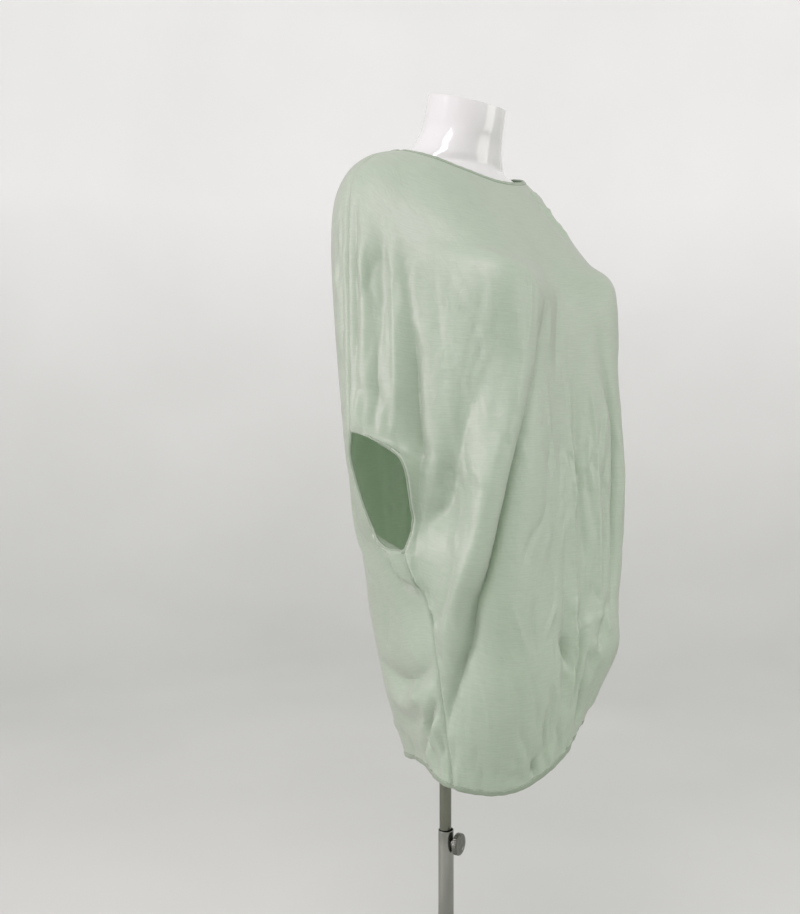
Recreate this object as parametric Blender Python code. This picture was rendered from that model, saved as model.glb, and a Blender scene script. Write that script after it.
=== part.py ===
"""A batwing jersey tunic dressed on a limbless torso form with a telescoping stand.

Metres, +Z up, origin on the floor at the pole's axis. The tunic faces -Y and its right
side is at -X. The tables below give places as (out, forward, up): out from the middle
plane, forward from the pole's axis, up from the floor.
"""

import math
from collections import namedtuple

import bmesh
import bpy
import numpy as np
from mathutils import Vector
from mathutils.bvhtree import BVHTree

# ---------------------------------------------------------------- driving dimensions

CLOTH = 0.0015  # wall of the jersey
SEAM_GAP = 0.0003  # between pieces that touch
REST_GAP = 0.0008  # from the cloth's inner side to the form it rests on
REST_SOFTNESS = 0.0015  # how gradually the cloth lifts off the form

NECK_BINDING_WIDTH = 0.0065
ARM_BINDING_WIDTH = 0.0035
HEM_BAND_WIDTH = 0.0065
TRIM_PROUD = 0.0003  # a binding stands this much outside the panel on each side

FRONT_COLUMNS = 38
BACK_COLUMNS = 26
TOP_ROWS, ARMHOLE_ROWS, SKIRT_ROWS = 15, 9, 11
FOLD_POINTS, GATHER_POINTS = 160, 40  # along each fold's or gather's line
FOLD_FADE, GATHER_FADE = 0.6, 0.7  # how soon a fold or gather reaches its depth
GATHER_FAN = 1.06  # how much wider apart the gathers' tops are than their feet

BASE_RADIUS, BASE_THICKNESS, BASE_BEVEL = 0.155, 0.007, 0.0025
HUB_RADIUS, HUB_NECK_RADIUS, HUB_HEIGHT, HUB_STEP = 0.028, 0.0165, 0.034, 0.010
TUBE_RADIUS, TUBE_BORE, TUBE_TOP = 0.011, 0.0099, 0.506
POLE_RADIUS, POLE_BOTTOM, POLE_LEAN = 0.0085, 0.200, 0.0010
CLAMP_HEIGHT, CLAMP_TURN = 0.489, math.radians(15)
BOSS_RADIUS, BOSS_REACH = 0.0065, 0.0155
SCREW_RADIUS = 0.003
KNOB_RADIUS, KNOB_START, KNOB_THICKNESS, KNOB_BEVEL = 0.0150, 0.0165, 0.0075, 0.0012
SOCKET_RADIUS, SOCKET_FLANGE = 0.0115, 0.038
SOCKET_LENGTH, SOCKET_FLANGE_THICKNESS = 0.045, 0.004
PLATE_SIDES, TUBE_SIDES, BOSS_SIDES, SCREW_SIDES = 64, 32, 24, 16

# ---------------------------------------------------------------- the tunic's sections

# Each section runs from the seam's edge over the side and the crest to the middle. The
# first is the neckline and the last the hem. Both panels share their seams' edges, but
# for the sections round the armhole.
Section = namedtuple("Section", "edge side crest middle")
KNOTS = (0.0, 0.42, 0.72, 1.0)  # where middle, crest, side and edge lie across a panel

FRONT = (
    Section((0.112, 0.025, 1.444), (0.096, 0.062, 1.433), (0.058, 0.087, 1.419), (0, 0.096, 1.411)),
    Section((0.150, 0.018, 1.432), (0.130, 0.070, 1.407), (0.078, 0.110, 1.387), (0, 0.120, 1.379)),
    Section((0.180, 0.018, 1.408), (0.160, 0.083, 1.363), (0.094, 0.140, 1.343), (0, 0.150, 1.338)),
    Section((0.197, 0.020, 1.372), (0.171, 0.093, 1.321), (0.101, 0.173, 1.302), (0, 0.181, 1.295)),
    Section((0.204, 0.024, 1.300), (0.176, 0.105, 1.268), (0.106, 0.213, 1.262), (0, 0.205, 1.245)),
    Section((0.207, 0.029, 1.180), (0.178, 0.112, 1.165), (0.116, 0.213, 1.155), (0, 0.209, 1.150)),
    Section((0.210, 0.035, 1.072), (0.176, 0.116, 1.065), (0.127, 0.212, 1.070), (0, 0.211, 1.070)),
    Section((0.197, 0.098, 1.045), (0.172, 0.121, 1.030), (0.134, 0.210, 1.020), (0, 0.213, 1.020)),
    Section((0.181, 0.114, 0.975), (0.167, 0.128, 0.968), (0.141, 0.203, 0.965), (0, 0.215, 0.965)),
    Section((0.171, 0.090, 0.926), (0.165, 0.134, 0.915), (0.148, 0.194, 0.900), (0, 0.217, 0.900)),
    Section((0.155, 0.123, 0.850), (0.154, 0.153, 0.840), (0.141, 0.189, 0.830), (0, 0.222, 0.820)),
    Section((0.149, 0.134, 0.745), (0.140, 0.165, 0.742), (0.115, 0.200, 0.738), (0, 0.222, 0.740)),
    Section((0.132, 0.138, 0.633), (0.117, 0.156, 0.627), (0.085, 0.177, 0.622), (0, 0.209, 0.642)),
)
BACK = (
    Section((0.112, 0.025, 1.444), (0.098, -0.012, 1.449), (0.058, -0.040, 1.452), (0, -0.050, 1.453)),
    Section((0.150, 0.018, 1.432), (0.140, -0.022, 1.432), (0.085, -0.055, 1.430), (0, -0.066, 1.428)),
    Section((0.180, 0.018, 1.408), (0.168, -0.026, 1.404), (0.105, -0.064, 1.390), (0, -0.075, 1.386)),
    Section((0.197, 0.020, 1.372), (0.182, -0.030, 1.362), (0.117, -0.072, 1.342), (0, -0.083, 1.335)),
    Section((0.204, 0.024, 1.300), (0.186, -0.030, 1.285), (0.120, -0.077, 1.260), (0, -0.088, 1.250)),
    Section((0.207, 0.029, 1.180), (0.182, -0.030, 1.165), (0.120, -0.077, 1.150), (0, -0.088, 1.140)),
    Section((0.210, 0.035, 1.072), (0.170, -0.022, 1.065), (0.117, -0.071, 1.060), (0, -0.083, 1.055)),
    Section((0.200, 0.024, 1.030), (0.162, -0.022, 1.020), (0.113, -0.067, 1.010), (0, -0.080, 1.005)),
    Section((0.178, 0.034, 0.956), (0.152, -0.018, 0.950), (0.108, -0.060, 0.945), (0, -0.075, 0.940)),
    Section((0.171, 0.090, 0.926), (0.158, 0.028, 0.898), (0.118, -0.040, 0.880), (0, -0.068, 0.880)),
    Section((0.155, 0.123, 0.850), (0.147, 0.045, 0.830), (0.108, -0.036, 0.810), (0, -0.055, 0.800)),
    Section((0.149, 0.134, 0.745), (0.132, 0.050, 0.730), (0.085, -0.030, 0.715), (0, -0.042, 0.710)),
    Section((0.132, 0.138, 0.633), (0.105, 0.060, 0.620), (0.062, -0.018, 0.612), (0, -0.030, 0.610)),
)
ARMHOLE_TOP, ARMHOLE_BOTTOM, HEM = 6, 9, 12  # section numbers

# The tunic hangs a little crooked: its left hem sits higher, and the hem's gathered
# middle is drawn up left of the middle plane.
LEFT_RISE = 0.042
GATHER_RISE, GATHER_PLACE, GATHER_SPREAD = 0.024, 0.26, 0.22
CROOKED_FROM = 9.0

# Folds run over the panels. Each path is (across, section): across is -1 at the right
# seam and 1 at the left one. Depth is outwards, so a trough's is negative.
Fold = namedtuple("Fold", "panel width depth path")
FOLDS = (
    Fold("front", 0.017, -0.019, ((-0.17, 4.4), (-0.27, 6), (-0.33, 8.5), (-0.52, 10.2), (-0.93, 11.3))),
    Fold("front", 0.020, 0.011, ((-0.32, 4.6), (-0.43, 6.5), (-0.47, 8.8), (-0.70, 10.0), (-0.98, 10.8))),
    Fold("front", 0.016, -0.016, ((0.20, 4.3), (0.32, 5.8), (0.31, 7), (0.27, 8.5), (0.23, 10.2))),
    Fold("front", 0.016, -0.011, ((0.42, 8.4), (0.52, 9.6), (0.68, 10.5), (0.92, 11.2))),
    Fold("front", 0.018, 0.003, ((0.32, 4.6), (0.43, 6.5), (0.46, 8.8), (0.68, 10.0), (0.95, 10.8))),
    Fold("front", 0.009, -0.004, ((-0.06, 3.9), (-0.05, 4.4), (-0.08, 5.0))),
    Fold("front", 0.011, -0.006, ((-0.86, 2.8), (-0.85, 4.4), (-0.83, 5.8))),
    Fold("front", 0.011, -0.006, ((0.86, 2.9), (0.84, 4.4), (0.84, 5.7))),
    Fold("front", 0.014, -0.010, ((-0.74, 2.6), (-0.72, 4), (-0.72, 6), (-0.74, 8), (-0.90, 9))),
    Fold("front", 0.014, -0.010, ((0.74, 2.7), (0.72, 4), (0.71, 6), (0.74, 8), (0.90, 9))),
    Fold("front", 0.015, -0.010, ((-0.50, 5.4), (-0.56, 6.4), (-0.64, 7.7), (-0.72, 8.4), (-0.95, 9))),
    Fold("front", 0.014, -0.009, ((0.52, 5.6), (0.57, 6.4), (0.66, 7.7), (0.73, 8.4), (0.95, 9))),
    Fold("front", 0.011, -0.005, ((-0.55, 8.9), (-0.64, 9.5), (-0.88, 10.1))),
    Fold("front", 0.011, 0.004, ((0.00, 4.9), (0.01, 7.5), (0.03, 10))),
    Fold("front", 0.011, -0.005, ((0.06, 4.9), (0.16, 6.2), (0.19, 8), (0.19, 9.6), (0.16, 10.2))),
    Fold("front", 0.010, -0.008, ((0.02, 9.7), (0.04, 10.5), (0.06, 11.7))),
    Fold("front", 0.010, -0.006, ((0.13, 10.2), (0.14, 11.4))),
    Fold("back", 0.020, -0.008, ((-0.98, 10.5), (-0.72, 10.8), (-0.45, 10.4))),
    Fold("back", 0.018, -0.007, ((0.98, 10.5), (0.70, 10.9), (0.45, 10.5))),
    Fold("back", 0.018, -0.006, ((-0.20, 5.2), (-0.22, 7.5), (-0.14, 10.5))),
    Fold("back", 0.018, -0.006, ((0.25, 4.8), (0.22, 7.5), (0.10, 10.8))),
    Fold("back", 0.016, 0.005, ((0.02, 5.5), (0.00, 8), (-0.02, 11))),
    Fold("back", 0.015, -0.006, ((-0.55, 3.8), (-0.58, 6), (-0.62, 8.2))),
    Fold("back", 0.015, -0.006, ((0.55, 3.9), (0.60, 6), (0.63, 8.3))),
)

# Gathers at the hem: short troughs rising from the band.
Gather = namedtuple("Gather", "panel across top depth")
GATHERS = (
    Gather("front", -0.62, 11.2, -0.004),
    Gather("front", -0.46, 11.3, -0.005),
    Gather("front", -0.30, 11.0, -0.006),
    Gather("front", -0.17, 10.9, -0.008),
    Gather("front", -0.05, 11.1, -0.008),
    Gather("front", 0.20, 10.9, -0.010),
    Gather("front", 0.33, 11.1, -0.008),
    Gather("front", 0.48, 11.0, -0.005),
    Gather("front", 0.64, 11.2, -0.004),
    Gather("back", -0.80, 11.2, -0.004),
    Gather("back", -0.45, 11.1, -0.004),
    Gather("back", -0.12, 11.2, -0.004),
    Gather("back", 0.22, 11.1, -0.004),
    Gather("back", 0.58, 11.2, -0.004),
    Gather("back", 0.84, 11.3, -0.003),
)
GATHER_WIDTH = 0.009

# ---------------------------------------------------------------- the form's sections

# up, half width, front, back: forward places of a section's front and back.
Girth = namedtuple("Girth", "up half_width front back squareness")
TORSO = (
    Girth(1.066, 0.107, 0.119, -0.023, 2.2),
    Girth(1.070, 0.116, 0.129, -0.033, 2.2),
    Girth(1.085, 0.121, 0.134, -0.038, 2.2),
    Girth(1.130, 0.126, 0.140, -0.044, 2.2),
    Girth(1.175, 0.138, 0.149, -0.052, 2.2),
    Girth(1.215, 0.149, 0.158, -0.059, 2.2),
    Girth(1.255, 0.160, 0.163, -0.065, 2.3),
    Girth(1.295, 0.173, 0.153, -0.070, 2.3),
    Girth(1.330, 0.185, 0.135, -0.071, 2.3),
    Girth(1.355, 0.192, 0.118, -0.069, 2.2),
    Girth(1.377, 0.193, 0.104, -0.065, 2.1),
    Girth(1.393, 0.188, 0.096, -0.061, 2.0),
    Girth(1.407, 0.177, 0.090, -0.057, 2.0),
    Girth(1.418, 0.161, 0.085, -0.052, 2.0),
    Girth(1.428, 0.137, 0.082, -0.047, 2.0),
    Girth(1.436, 0.098, 0.081, -0.042, 2.0),
    Girth(1.448, 0.0675, 0.083, -0.037, 2.0),
    Girth(1.464, 0.0585, 0.0855, -0.032, 2.0),
    Girth(1.485, 0.0560, 0.0885, -0.025, 2.0),
    Girth(1.510, 0.0550, 0.0920, -0.018, 2.0),
    Girth(1.528, 0.0545, 0.0945, -0.0145, 2.0),
)
TORSO_SIDES = 36
RING_SAMPLES = 721  # points on a section's curve before it is cut into even sides
NECK_CUT_TILT, NECK_CUT_FROM = 0.30, 1.464
BUST_OUT, BUST_UP, BUST_PROUD, BUST_SPREAD = 0.090, 1.258, 0.038, 0.050

MINT, MINT_TRIM = (0.47, 0.54, 0.45, 1), (0.43, 0.50, 0.41, 1)
GLOSS_WHITE, CHROME = (0.86, 0.85, 0.82, 1), (0.60, 0.61, 0.62, 1)


# ---------------------------------------------------------------- general helpers


def clear_scene():
    for old in list(bpy.data.objects):
        bpy.data.objects.remove(old)


def material(name, colour, roughness, metallic=0.0):
    made = bpy.data.materials.new(name)
    made.use_nodes = True
    shader = made.node_tree.nodes["Principled BSDF"]
    shader.inputs["Base Color"].default_value = colour
    shader.inputs["Roughness"].default_value = roughness
    shader.inputs["Metallic"].default_value = metallic
    made.diffuse_color = colour
    return made


def finish(name, bm, look, parent=None):
    """Turns a bmesh into a named, smooth-shaded object with its own material."""
    bmesh.ops.triangulate(bm, faces=bm.faces, quad_method="SHORT_EDGE")
    mesh = bpy.data.meshes.new(name)
    bm.to_mesh(mesh)
    bm.free()
    mesh.materials.append(look)
    mesh.shade_smooth()
    mesh.set_sharp_from_angle(angle=math.radians(40))
    made = bpy.data.objects.new(name, mesh)
    bpy.context.scene.collection.objects.link(made)
    made.parent = parent
    return made


def smoothstep(low, high, x):
    s = np.clip((x - low) / (high - low), 0.0, 1.0)
    return s * s * (3.0 - 2.0 * s)


def unit(vectors):
    return vectors / np.maximum(np.linalg.norm(vectors, axis=-1, keepdims=True), 1e-12)


def hermite(s, start, leave, end, arrive):
    """A cubic from start to end that leaves and arrives with the given slopes."""
    return (
        (2 * s**3 - 3 * s**2 + 1) * start
        + (s**3 - 2 * s**2 + s) * leave
        + (3 * s**2 - 2 * s**3) * end
        + (s**3 - s**2) * arrive
    )


def even_curve(points, at):
    """A smooth curve through points numbered 0, 1, 2..., at the numbers in at."""
    points = np.asarray(points, float)
    slopes = np.gradient(points, axis=0)
    i = np.clip(np.floor(at + 1e-9).astype(int), 0, len(points) - 2)
    return hermite((at - i)[:, None], points[i], slopes[i], points[i + 1], slopes[i + 1])


def taut_curve(knots, points, at):
    """A curve through points at rising knots that never swings out past them.

    Each point has one direction, and each stretch takes its speed from its own length.
    """
    strides = np.diff(points, axis=0)
    lengths = np.linalg.norm(strides, axis=1)[:, None]
    ways = strides / lengths
    ways = np.concatenate(
        [
            ways[:1],
            unit(ways[:-1] * lengths[1:] + ways[1:] * lengths[:-1]),
            ways[-1:],
        ]
    )
    i = np.clip(np.searchsorted(knots, at, side="right") - 1, 0, len(knots) - 2)
    s = ((at - knots[i]) / (knots[i + 1] - knots[i]))[:, None]
    return hermite(s, points[i], ways[i] * lengths[i], points[i + 1], ways[i + 1] * lengths[i])


def loft(bm, rings):
    """Quads between rings of equal length, each a closed loop of vertices."""
    count = len(rings[0])
    for lower, upper in zip(rings, rings[1:]):
        for i in range(count):
            j = (i + 1) % count
            bm.faces.new((lower[i], lower[j], upper[j], upper[i]))


def outward(bm):
    bmesh.ops.recalc_face_normals(bm, faces=bm.faces)
    if bm.calc_volume(signed=True) < 0:
        bmesh.ops.reverse_faces(bm, faces=bm.faces)


# ---------------------------------------------------------------- the dress form


def torso_ring(girth):
    """One level section of the form, with the bust's two mounds, in even steps."""
    turn = np.linspace(0.0, 2 * math.pi, RING_SAMPLES)
    power = 2.0 / girth.squareness
    across = girth.half_width * np.sign(np.cos(turn)) * np.abs(np.cos(turn)) ** power
    centre, half_depth = (girth.front + girth.back) / 2, (girth.front - girth.back) / 2
    forward = centre + half_depth * np.sign(np.sin(turn)) * np.abs(np.sin(turn)) ** power
    for side in (-1, 1):
        reach = ((across - side * BUST_OUT) ** 2 + (girth.up - BUST_UP) ** 2) / BUST_SPREAD**2
        forward = forward + np.where(forward > centre, BUST_PROUD * np.exp(-reach), 0.0)
    length = np.concatenate([[0.0], np.cumsum(np.hypot(np.diff(across), np.diff(forward)))])
    even = np.linspace(0.0, length[-1], TORSO_SIDES, endpoint=False)
    across, forward = np.interp(even, length, across), np.interp(even, length, forward)
    cut = NECK_CUT_TILT * smoothstep(NECK_CUT_FROM, TORSO[-1].up, girth.up)
    up = girth.up - cut * (forward - centre)
    return [Vector((x, -y, z)) for x, y, z in zip(across, forward, up)]


def build_form():
    bm = bmesh.new()
    rings = [[bm.verts.new(place) for place in torso_ring(girth)] for girth in TORSO]
    loft(bm, rings)
    bm.faces.new(reversed(rings[0]))
    bm.faces.new(rings[-1])
    outward(bm)
    tree = BVHTree.FromBMesh(bm)
    look = material("gloss_white_form", GLOSS_WHITE, 0.12)
    return finish("dress_form", bm, look), tree


# ---------------------------------------------------------------- the tunic's surface


def stations(sections, numbers):
    """A panel's middle, crest, side and edge places at each section number.

    The edge turns a corner at the armhole's top and bottom.
    """
    found = [
        even_curve([getattr(row, name) for row in sections], numbers)
        for name in ("middle", "crest", "side", "edge")
    ]
    for first, last in ((0, ARMHOLE_TOP), (ARMHOLE_TOP, ARMHOLE_BOTTOM), (ARMHOLE_BOTTOM, HEM)):
        stretch = [row.edge for row in sections[first : last + 1]]
        within = (numbers >= first) & (numbers <= last)
        found[3][within] = even_curve(stretch, numbers[within] - first)
    return found


def place_on(panel, across, section):
    """Points of a panel's bare surface, for matching arrays of across and section."""
    own, other = (FRONT, BACK) if panel == "front" else (BACK, FRONT)
    across, section = np.atleast_1d(across), np.atleast_1d(section).astype(float)
    middle, crest, side, edge = stations(own, section)
    beyond = stations(other, section)[2]
    knots = np.array(KNOTS + (2 - KNOTS[2],))
    knots = np.concatenate([-knots[:0:-1], knots])
    found = np.empty((len(across), 3))
    flip = np.array((-1.0, 1.0, 1.0))
    for n in range(len(across)):
        half = np.array([middle[n], crest[n], side[n], edge[n], beyond[n]])
        whole = np.concatenate([half[:0:-1] * flip, half])
        found[n] = taut_curve(knots, whole, across[n : n + 1])[0]
    crooked = smoothstep(CROOKED_FROM, HEM, section)
    rise = LEFT_RISE * smoothstep(0.0, 1.0, across)
    if panel == "front":
        rise = rise + GATHER_RISE * np.exp(-(((across - GATHER_PLACE) / GATHER_SPREAD) ** 2))
    found[:, 2] += crooked * rise
    return found * (1, -1, 1)


def section_samples():
    """Section numbers of the grid's rows, closer together round the armhole."""
    return np.concatenate(
        [
            np.linspace(0, ARMHOLE_TOP, TOP_ROWS, endpoint=False),
            np.linspace(ARMHOLE_TOP, ARMHOLE_BOTTOM, ARMHOLE_ROWS, endpoint=False),
            np.linspace(ARMHOLE_BOTTOM, HEM, SKIRT_ROWS + 1),
        ]
    )


def bare_grid(panel, columns, rows):
    across = np.linspace(-1, 1, columns + 1)
    grid = [place_on(panel, across, np.full(len(across), row)) for row in rows]
    return np.array(grid)


def grid_normals(grid, panel):
    """Outward normals of a grid of points (rows, columns, 3)."""
    down = np.gradient(grid, axis=0)
    along = np.gradient(grid, axis=1)
    normals = unit(np.cross(along, down))
    return -normals if panel == "front" else normals


def rest_on_form(points, tree):
    """Lifts points clear of the form, gradually, so that the cloth lies on it."""
    lifted = points.copy()
    need = CLOTH + REST_GAP
    for index in np.ndindex(points.shape[:-1]):
        place = Vector(points[index])
        near, normal, _, _ = tree.find_nearest(place)
        depth = need - (place - near).dot(normal)
        lift = REST_SOFTNESS * np.logaddexp(0.0, depth / REST_SOFTNESS)
        lifted[index] += lift * np.array(normal)
    return lifted


def fold_lines():
    """Every fold and gather as (points along it, strength along it, width, depth)."""
    lines = []
    for fold in FOLDS:
        along = even_curve(fold.path, np.linspace(0, len(fold.path) - 1, FOLD_POINTS))
        line = place_on(fold.panel, along[:, 0], along[:, 1])
        part_way = (np.arange(FOLD_POINTS) + 1.0) / (FOLD_POINTS + 1)
        strength = np.sin(part_way * math.pi) ** FOLD_FADE
        lines.append((line, strength, fold.width, fold.depth))
    for gather in GATHERS:
        rows = np.linspace(gather.top, HEM, GATHER_POINTS)
        across = gather.across * np.linspace(GATHER_FAN, 1.0, GATHER_POINTS)
        line = place_on(gather.panel, across, rows)
        strength = np.linspace(0, 1, GATHER_POINTS) ** GATHER_FADE
        lines.append((line, strength, GATHER_WIDTH, gather.depth))
    return lines


def folded(points, normals, lines):
    """Points moved along their normals by every fold that passes near them."""
    flat, out = points.reshape(-1, 3), normals.reshape(-1, 3)
    moved = np.zeros(len(flat))
    for line, strength, width, depth in lines:
        gaps = np.linalg.norm(flat[:, None] - line[None], axis=2)
        nearest = gaps.argmin(axis=1)
        gap = gaps[np.arange(len(flat)), nearest]
        moved += depth * strength[nearest] * np.exp(-((gap / width) ** 2))
    return (flat + moved[:, None] * out).reshape(points.shape)


def join_normals(front, back, rows):
    """Gives both panels one normal along the seams they share."""
    sewn = (rows <= ARMHOLE_TOP + 1e-6) | (rows >= ARMHOLE_BOTTOM - 1e-6)
    for edge in (0, -1):
        shared = unit(front[:, edge] + back[:, edge])
        front[sewn, edge] = shared[sewn]
        back[sewn, edge] = shared[sewn]


def tunic_surface(tree):
    """The finished outer surface of both panels: points and normals by name."""
    rows = section_samples()
    lines = fold_lines()
    points, normals = {}, {}
    for panel, columns in (("front", FRONT_COLUMNS), ("back", BACK_COLUMNS)):
        bare = bare_grid(panel, columns, rows)
        points[panel], normals[panel] = bare, grid_normals(bare, panel)
    join_normals(normals["front"], normals["back"], rows)
    for panel in points:
        creased = folded(points[panel], normals[panel], lines)
        points[panel] = rest_on_form(creased, tree)
        normals[panel] = grid_normals(points[panel], panel)
    join_normals(normals["front"], normals["back"], rows)
    return rows, points, normals


# ---------------------------------------------------------------- the tunic's pieces


def inset_edges(points, normals):
    """Draws a panel's two side edges in by half the seam's gap."""
    drawn = points.copy()
    for edge, inside in ((0, 1), (-1, -2)):
        along = unit(np.gradient(points[:, edge], axis=0))
        inward = unit(np.cross(normals[:, edge], along))
        inward *= np.sign(np.sum(inward * (points[:, inside] - points[:, edge]), axis=1))[:, None]
        drawn[:, edge] += inward * SEAM_GAP / 2
    return drawn


def build_panel(name, points, normals, look):
    """A wall of cloth: the outer grid, the same grid moved in, and the rim between."""
    outer = inset_edges(points, normals)
    inner = outer - normals * CLOTH
    row_count, column_count = outer.shape[:2]
    bm = bmesh.new()
    layers = [[[bm.verts.new(p) for p in row] for row in layer] for layer in (outer, inner)]
    for layer in layers:
        for r in range(row_count - 1):
            for c in range(column_count - 1):
                bm.faces.new((layer[r][c], layer[r][c + 1], layer[r + 1][c + 1], layer[r + 1][c]))
    rim = [(0, c) for c in range(column_count)]
    rim += [(r, column_count - 1) for r in range(1, row_count)]
    rim += [(row_count - 1, c) for c in range(column_count - 2, -1, -1)]
    rim += [(r, 0) for r in range(row_count - 2, 0, -1)]
    for (r, c), (s, d) in zip(rim, rim[1:] + rim[:1]):
        bm.faces.new((layers[0][r][c], layers[0][s][d], layers[1][s][d], layers[1][r][c]))
    outward(bm)
    return finish(name, bm, look)


def build_trim(name, loop, normals, width, look, inward_to=None, along=None):
    """A flat ring of binding that continues the cloth past an edge loop.

    The ring grows from the loop along the given directions, or towards a point.
    """
    tangent = unit(np.roll(loop, -1, axis=0) - np.roll(loop, 1, axis=0))
    grow = unit(np.cross(normals, tangent))
    target = along if along is not None else inward_to - loop
    grow *= np.sign(np.sum(grow * target, axis=1))[:, None]
    bm = bmesh.new()
    near, far = SEAM_GAP, SEAM_GAP + width
    corners = ((near, TRIM_PROUD), (far, TRIM_PROUD), (far, -CLOTH - TRIM_PROUD), (near, -CLOTH - TRIM_PROUD))
    rings = [
        [bm.verts.new(p + grow[i] * reach + normals[i] * proud) for reach, proud in corners]
        for i, p in enumerate(loop)
    ]
    loft(bm, rings + rings[:1])
    outward(bm)
    return finish(name, bm, look)


def panel_loop(points, normals, row):
    """A closed loop round both panels along one row of the grid."""
    places = [points["front"][row, :-1], points["back"][row, :0:-1]]
    out = [normals["front"][row, :-1], normals["back"][row, :0:-1]]
    return np.concatenate(places), np.concatenate(out)


def armhole_loop(points, normals, rows, edge):
    """The loop down the front panel's armhole edge and up the back panel's."""
    span = [i for i, row in enumerate(rows) if ARMHOLE_TOP - 1e-6 <= row <= ARMHOLE_BOTTOM + 1e-6]
    down, up = span[:-1], span[:0:-1]
    places = [points["front"][down, edge], points["back"][up, edge]]
    out = [normals["front"][down, edge], normals["back"][up, edge]]
    return np.concatenate(places), np.concatenate(out)


def build_tunic(tree):
    cloth, trim = material("mint_jersey", MINT, 0.85), material("mint_binding", MINT_TRIM, 0.85)
    rows, points, normals = tunic_surface(tree)
    build_panel("front_panel", points["front"], normals["front"], cloth)
    build_panel("back_panel", points["back"], normals["back"], cloth.copy())

    loop, out = panel_loop(points, normals, 0)
    beyond, _ = panel_loop(points, normals, 1)
    build_trim("neck_binding", loop, out, NECK_BINDING_WIDTH, trim, along=loop - beyond)

    loop, out = panel_loop(points, normals, -1)
    beyond, _ = panel_loop(points, normals, -2)
    build_trim("hem_band", loop, out, HEM_BAND_WIDTH, trim.copy(), along=loop - beyond)

    for name, edge in (("armhole_binding_right", 0), ("armhole_binding_left", -1)):
        loop, out = armhole_loop(points, normals, rows, edge)
        build_trim(name, loop, out, ARM_BINDING_WIDTH, trim.copy(), inward_to=loop.mean(axis=0))


# ---------------------------------------------------------------- the stand


def turned(profile, segments):
    """A closed solid turned about Z from (radius, up) points, top to bottom."""
    bm = bmesh.new()
    loops = []
    for radius, up in profile:
        if radius < 1e-9:
            loops.append([bm.verts.new((0, 0, up))])
            continue
        turns = [2 * math.pi * i / segments for i in range(segments)]
        loops.append([bm.verts.new((radius * math.cos(a), radius * math.sin(a), up)) for a in turns])
    pairs = list(zip(loops, loops[1:]))
    if len(loops[0]) > 1:
        pairs.append((loops[-1], loops[0]))
    for one, two in pairs:
        for i in range(segments):
            j = (i + 1) % segments
            corners = [one[i % len(one)], one[j % len(one)], two[j % len(two)], two[i % len(two)]]
            bm.faces.new(list(dict.fromkeys(corners)))
    outward(bm)
    return bm


def build_stand():
    chrome = material("chrome", CHROME, 0.16, 1.0)

    top = BASE_THICKNESS
    plate = (
        (0, top),
        (BASE_RADIUS - BASE_BEVEL, top),
        (BASE_RADIUS, top - BASE_BEVEL),
        (BASE_RADIUS, BASE_BEVEL),
        (BASE_RADIUS - BASE_BEVEL, 0),
        (0, 0),
    )
    finish("base_plate", turned(plate, PLATE_SIDES), chrome)

    foot, bore = top + SEAM_GAP, TUBE_RADIUS + SEAM_GAP
    hub = (
        (HUB_NECK_RADIUS, foot + HUB_HEIGHT),
        (HUB_RADIUS, foot + HUB_STEP),
        (HUB_RADIUS, foot),
        (bore, foot),
        (bore, foot + HUB_HEIGHT),
    )
    finish("base_hub", turned(hub, TUBE_SIDES), chrome.copy())

    tube = ((TUBE_RADIUS, TUBE_TOP), (TUBE_RADIUS, foot), (TUBE_BORE, foot), (TUBE_BORE, TUBE_TOP))
    finish("outer_tube", turned(tube, TUBE_SIDES), chrome.copy())

    form_bottom = TORSO[0].up
    flange_top = form_bottom - SEAM_GAP
    flange_bottom = flange_top - SOCKET_FLANGE_THICKNESS
    socket_bottom = flange_top - SOCKET_LENGTH
    socket_bore = POLE_RADIUS + SEAM_GAP
    socket = (
        (SOCKET_FLANGE, flange_top),
        (SOCKET_FLANGE, flange_bottom),
        (SOCKET_RADIUS, flange_bottom),
        (SOCKET_RADIUS, socket_bottom),
        (socket_bore, socket_bottom),
        (socket_bore, flange_top),
    )
    lean = Vector((-math.sin(CLAMP_TURN), math.cos(CLAMP_TURN), 0)) * POLE_LEAN
    finish("form_socket", turned(socket, TUBE_SIDES), chrome.copy()).location = lean

    pole_top = flange_top - SEAM_GAP
    pole = ((0, pole_top), (POLE_RADIUS, pole_top), (POLE_RADIUS, POLE_BOTTOM), (0, POLE_BOTTOM))
    finish("inner_pole", turned(pole, TUBE_SIDES), chrome.copy()).location = lean

    build_clamp(chrome)


def build_clamp(chrome):
    """The boss on the tube's rim with its screw and knob, on an axis that faces forward."""
    clamp = bpy.data.objects.new("clamp_axis", None)
    bpy.context.scene.collection.objects.link(clamp)
    clamp.location = (0, 0, CLAMP_HEIGHT)
    clamp.rotation_euler = (math.pi / 2, 0, CLAMP_TURN)

    seat = TUBE_RADIUS + SEAM_GAP
    hole = SCREW_RADIUS + SEAM_GAP
    boss = ((BOSS_RADIUS, BOSS_REACH), (BOSS_RADIUS, seat), (hole, seat), (hole, BOSS_REACH))
    finish("clamp_boss", turned(boss, BOSS_SIDES), chrome.copy(), clamp)

    tip = KNOB_START - SEAM_GAP
    screw = ((0, tip), (SCREW_RADIUS, tip), (SCREW_RADIUS, seat), (0, seat))
    finish("clamp_screw", turned(screw, SCREW_SIDES), chrome.copy(), clamp)

    end, bevel = KNOB_START + KNOB_THICKNESS, KNOB_BEVEL
    knob = (
        (0, end),
        (KNOB_RADIUS - bevel, end),
        (KNOB_RADIUS, end - bevel),
        (KNOB_RADIUS, KNOB_START + bevel),
        (KNOB_RADIUS - bevel, KNOB_START),
        (0, KNOB_START),
    )
    finish("clamp_knob", turned(knob, TUBE_SIDES), chrome.copy(), clamp)


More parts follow.
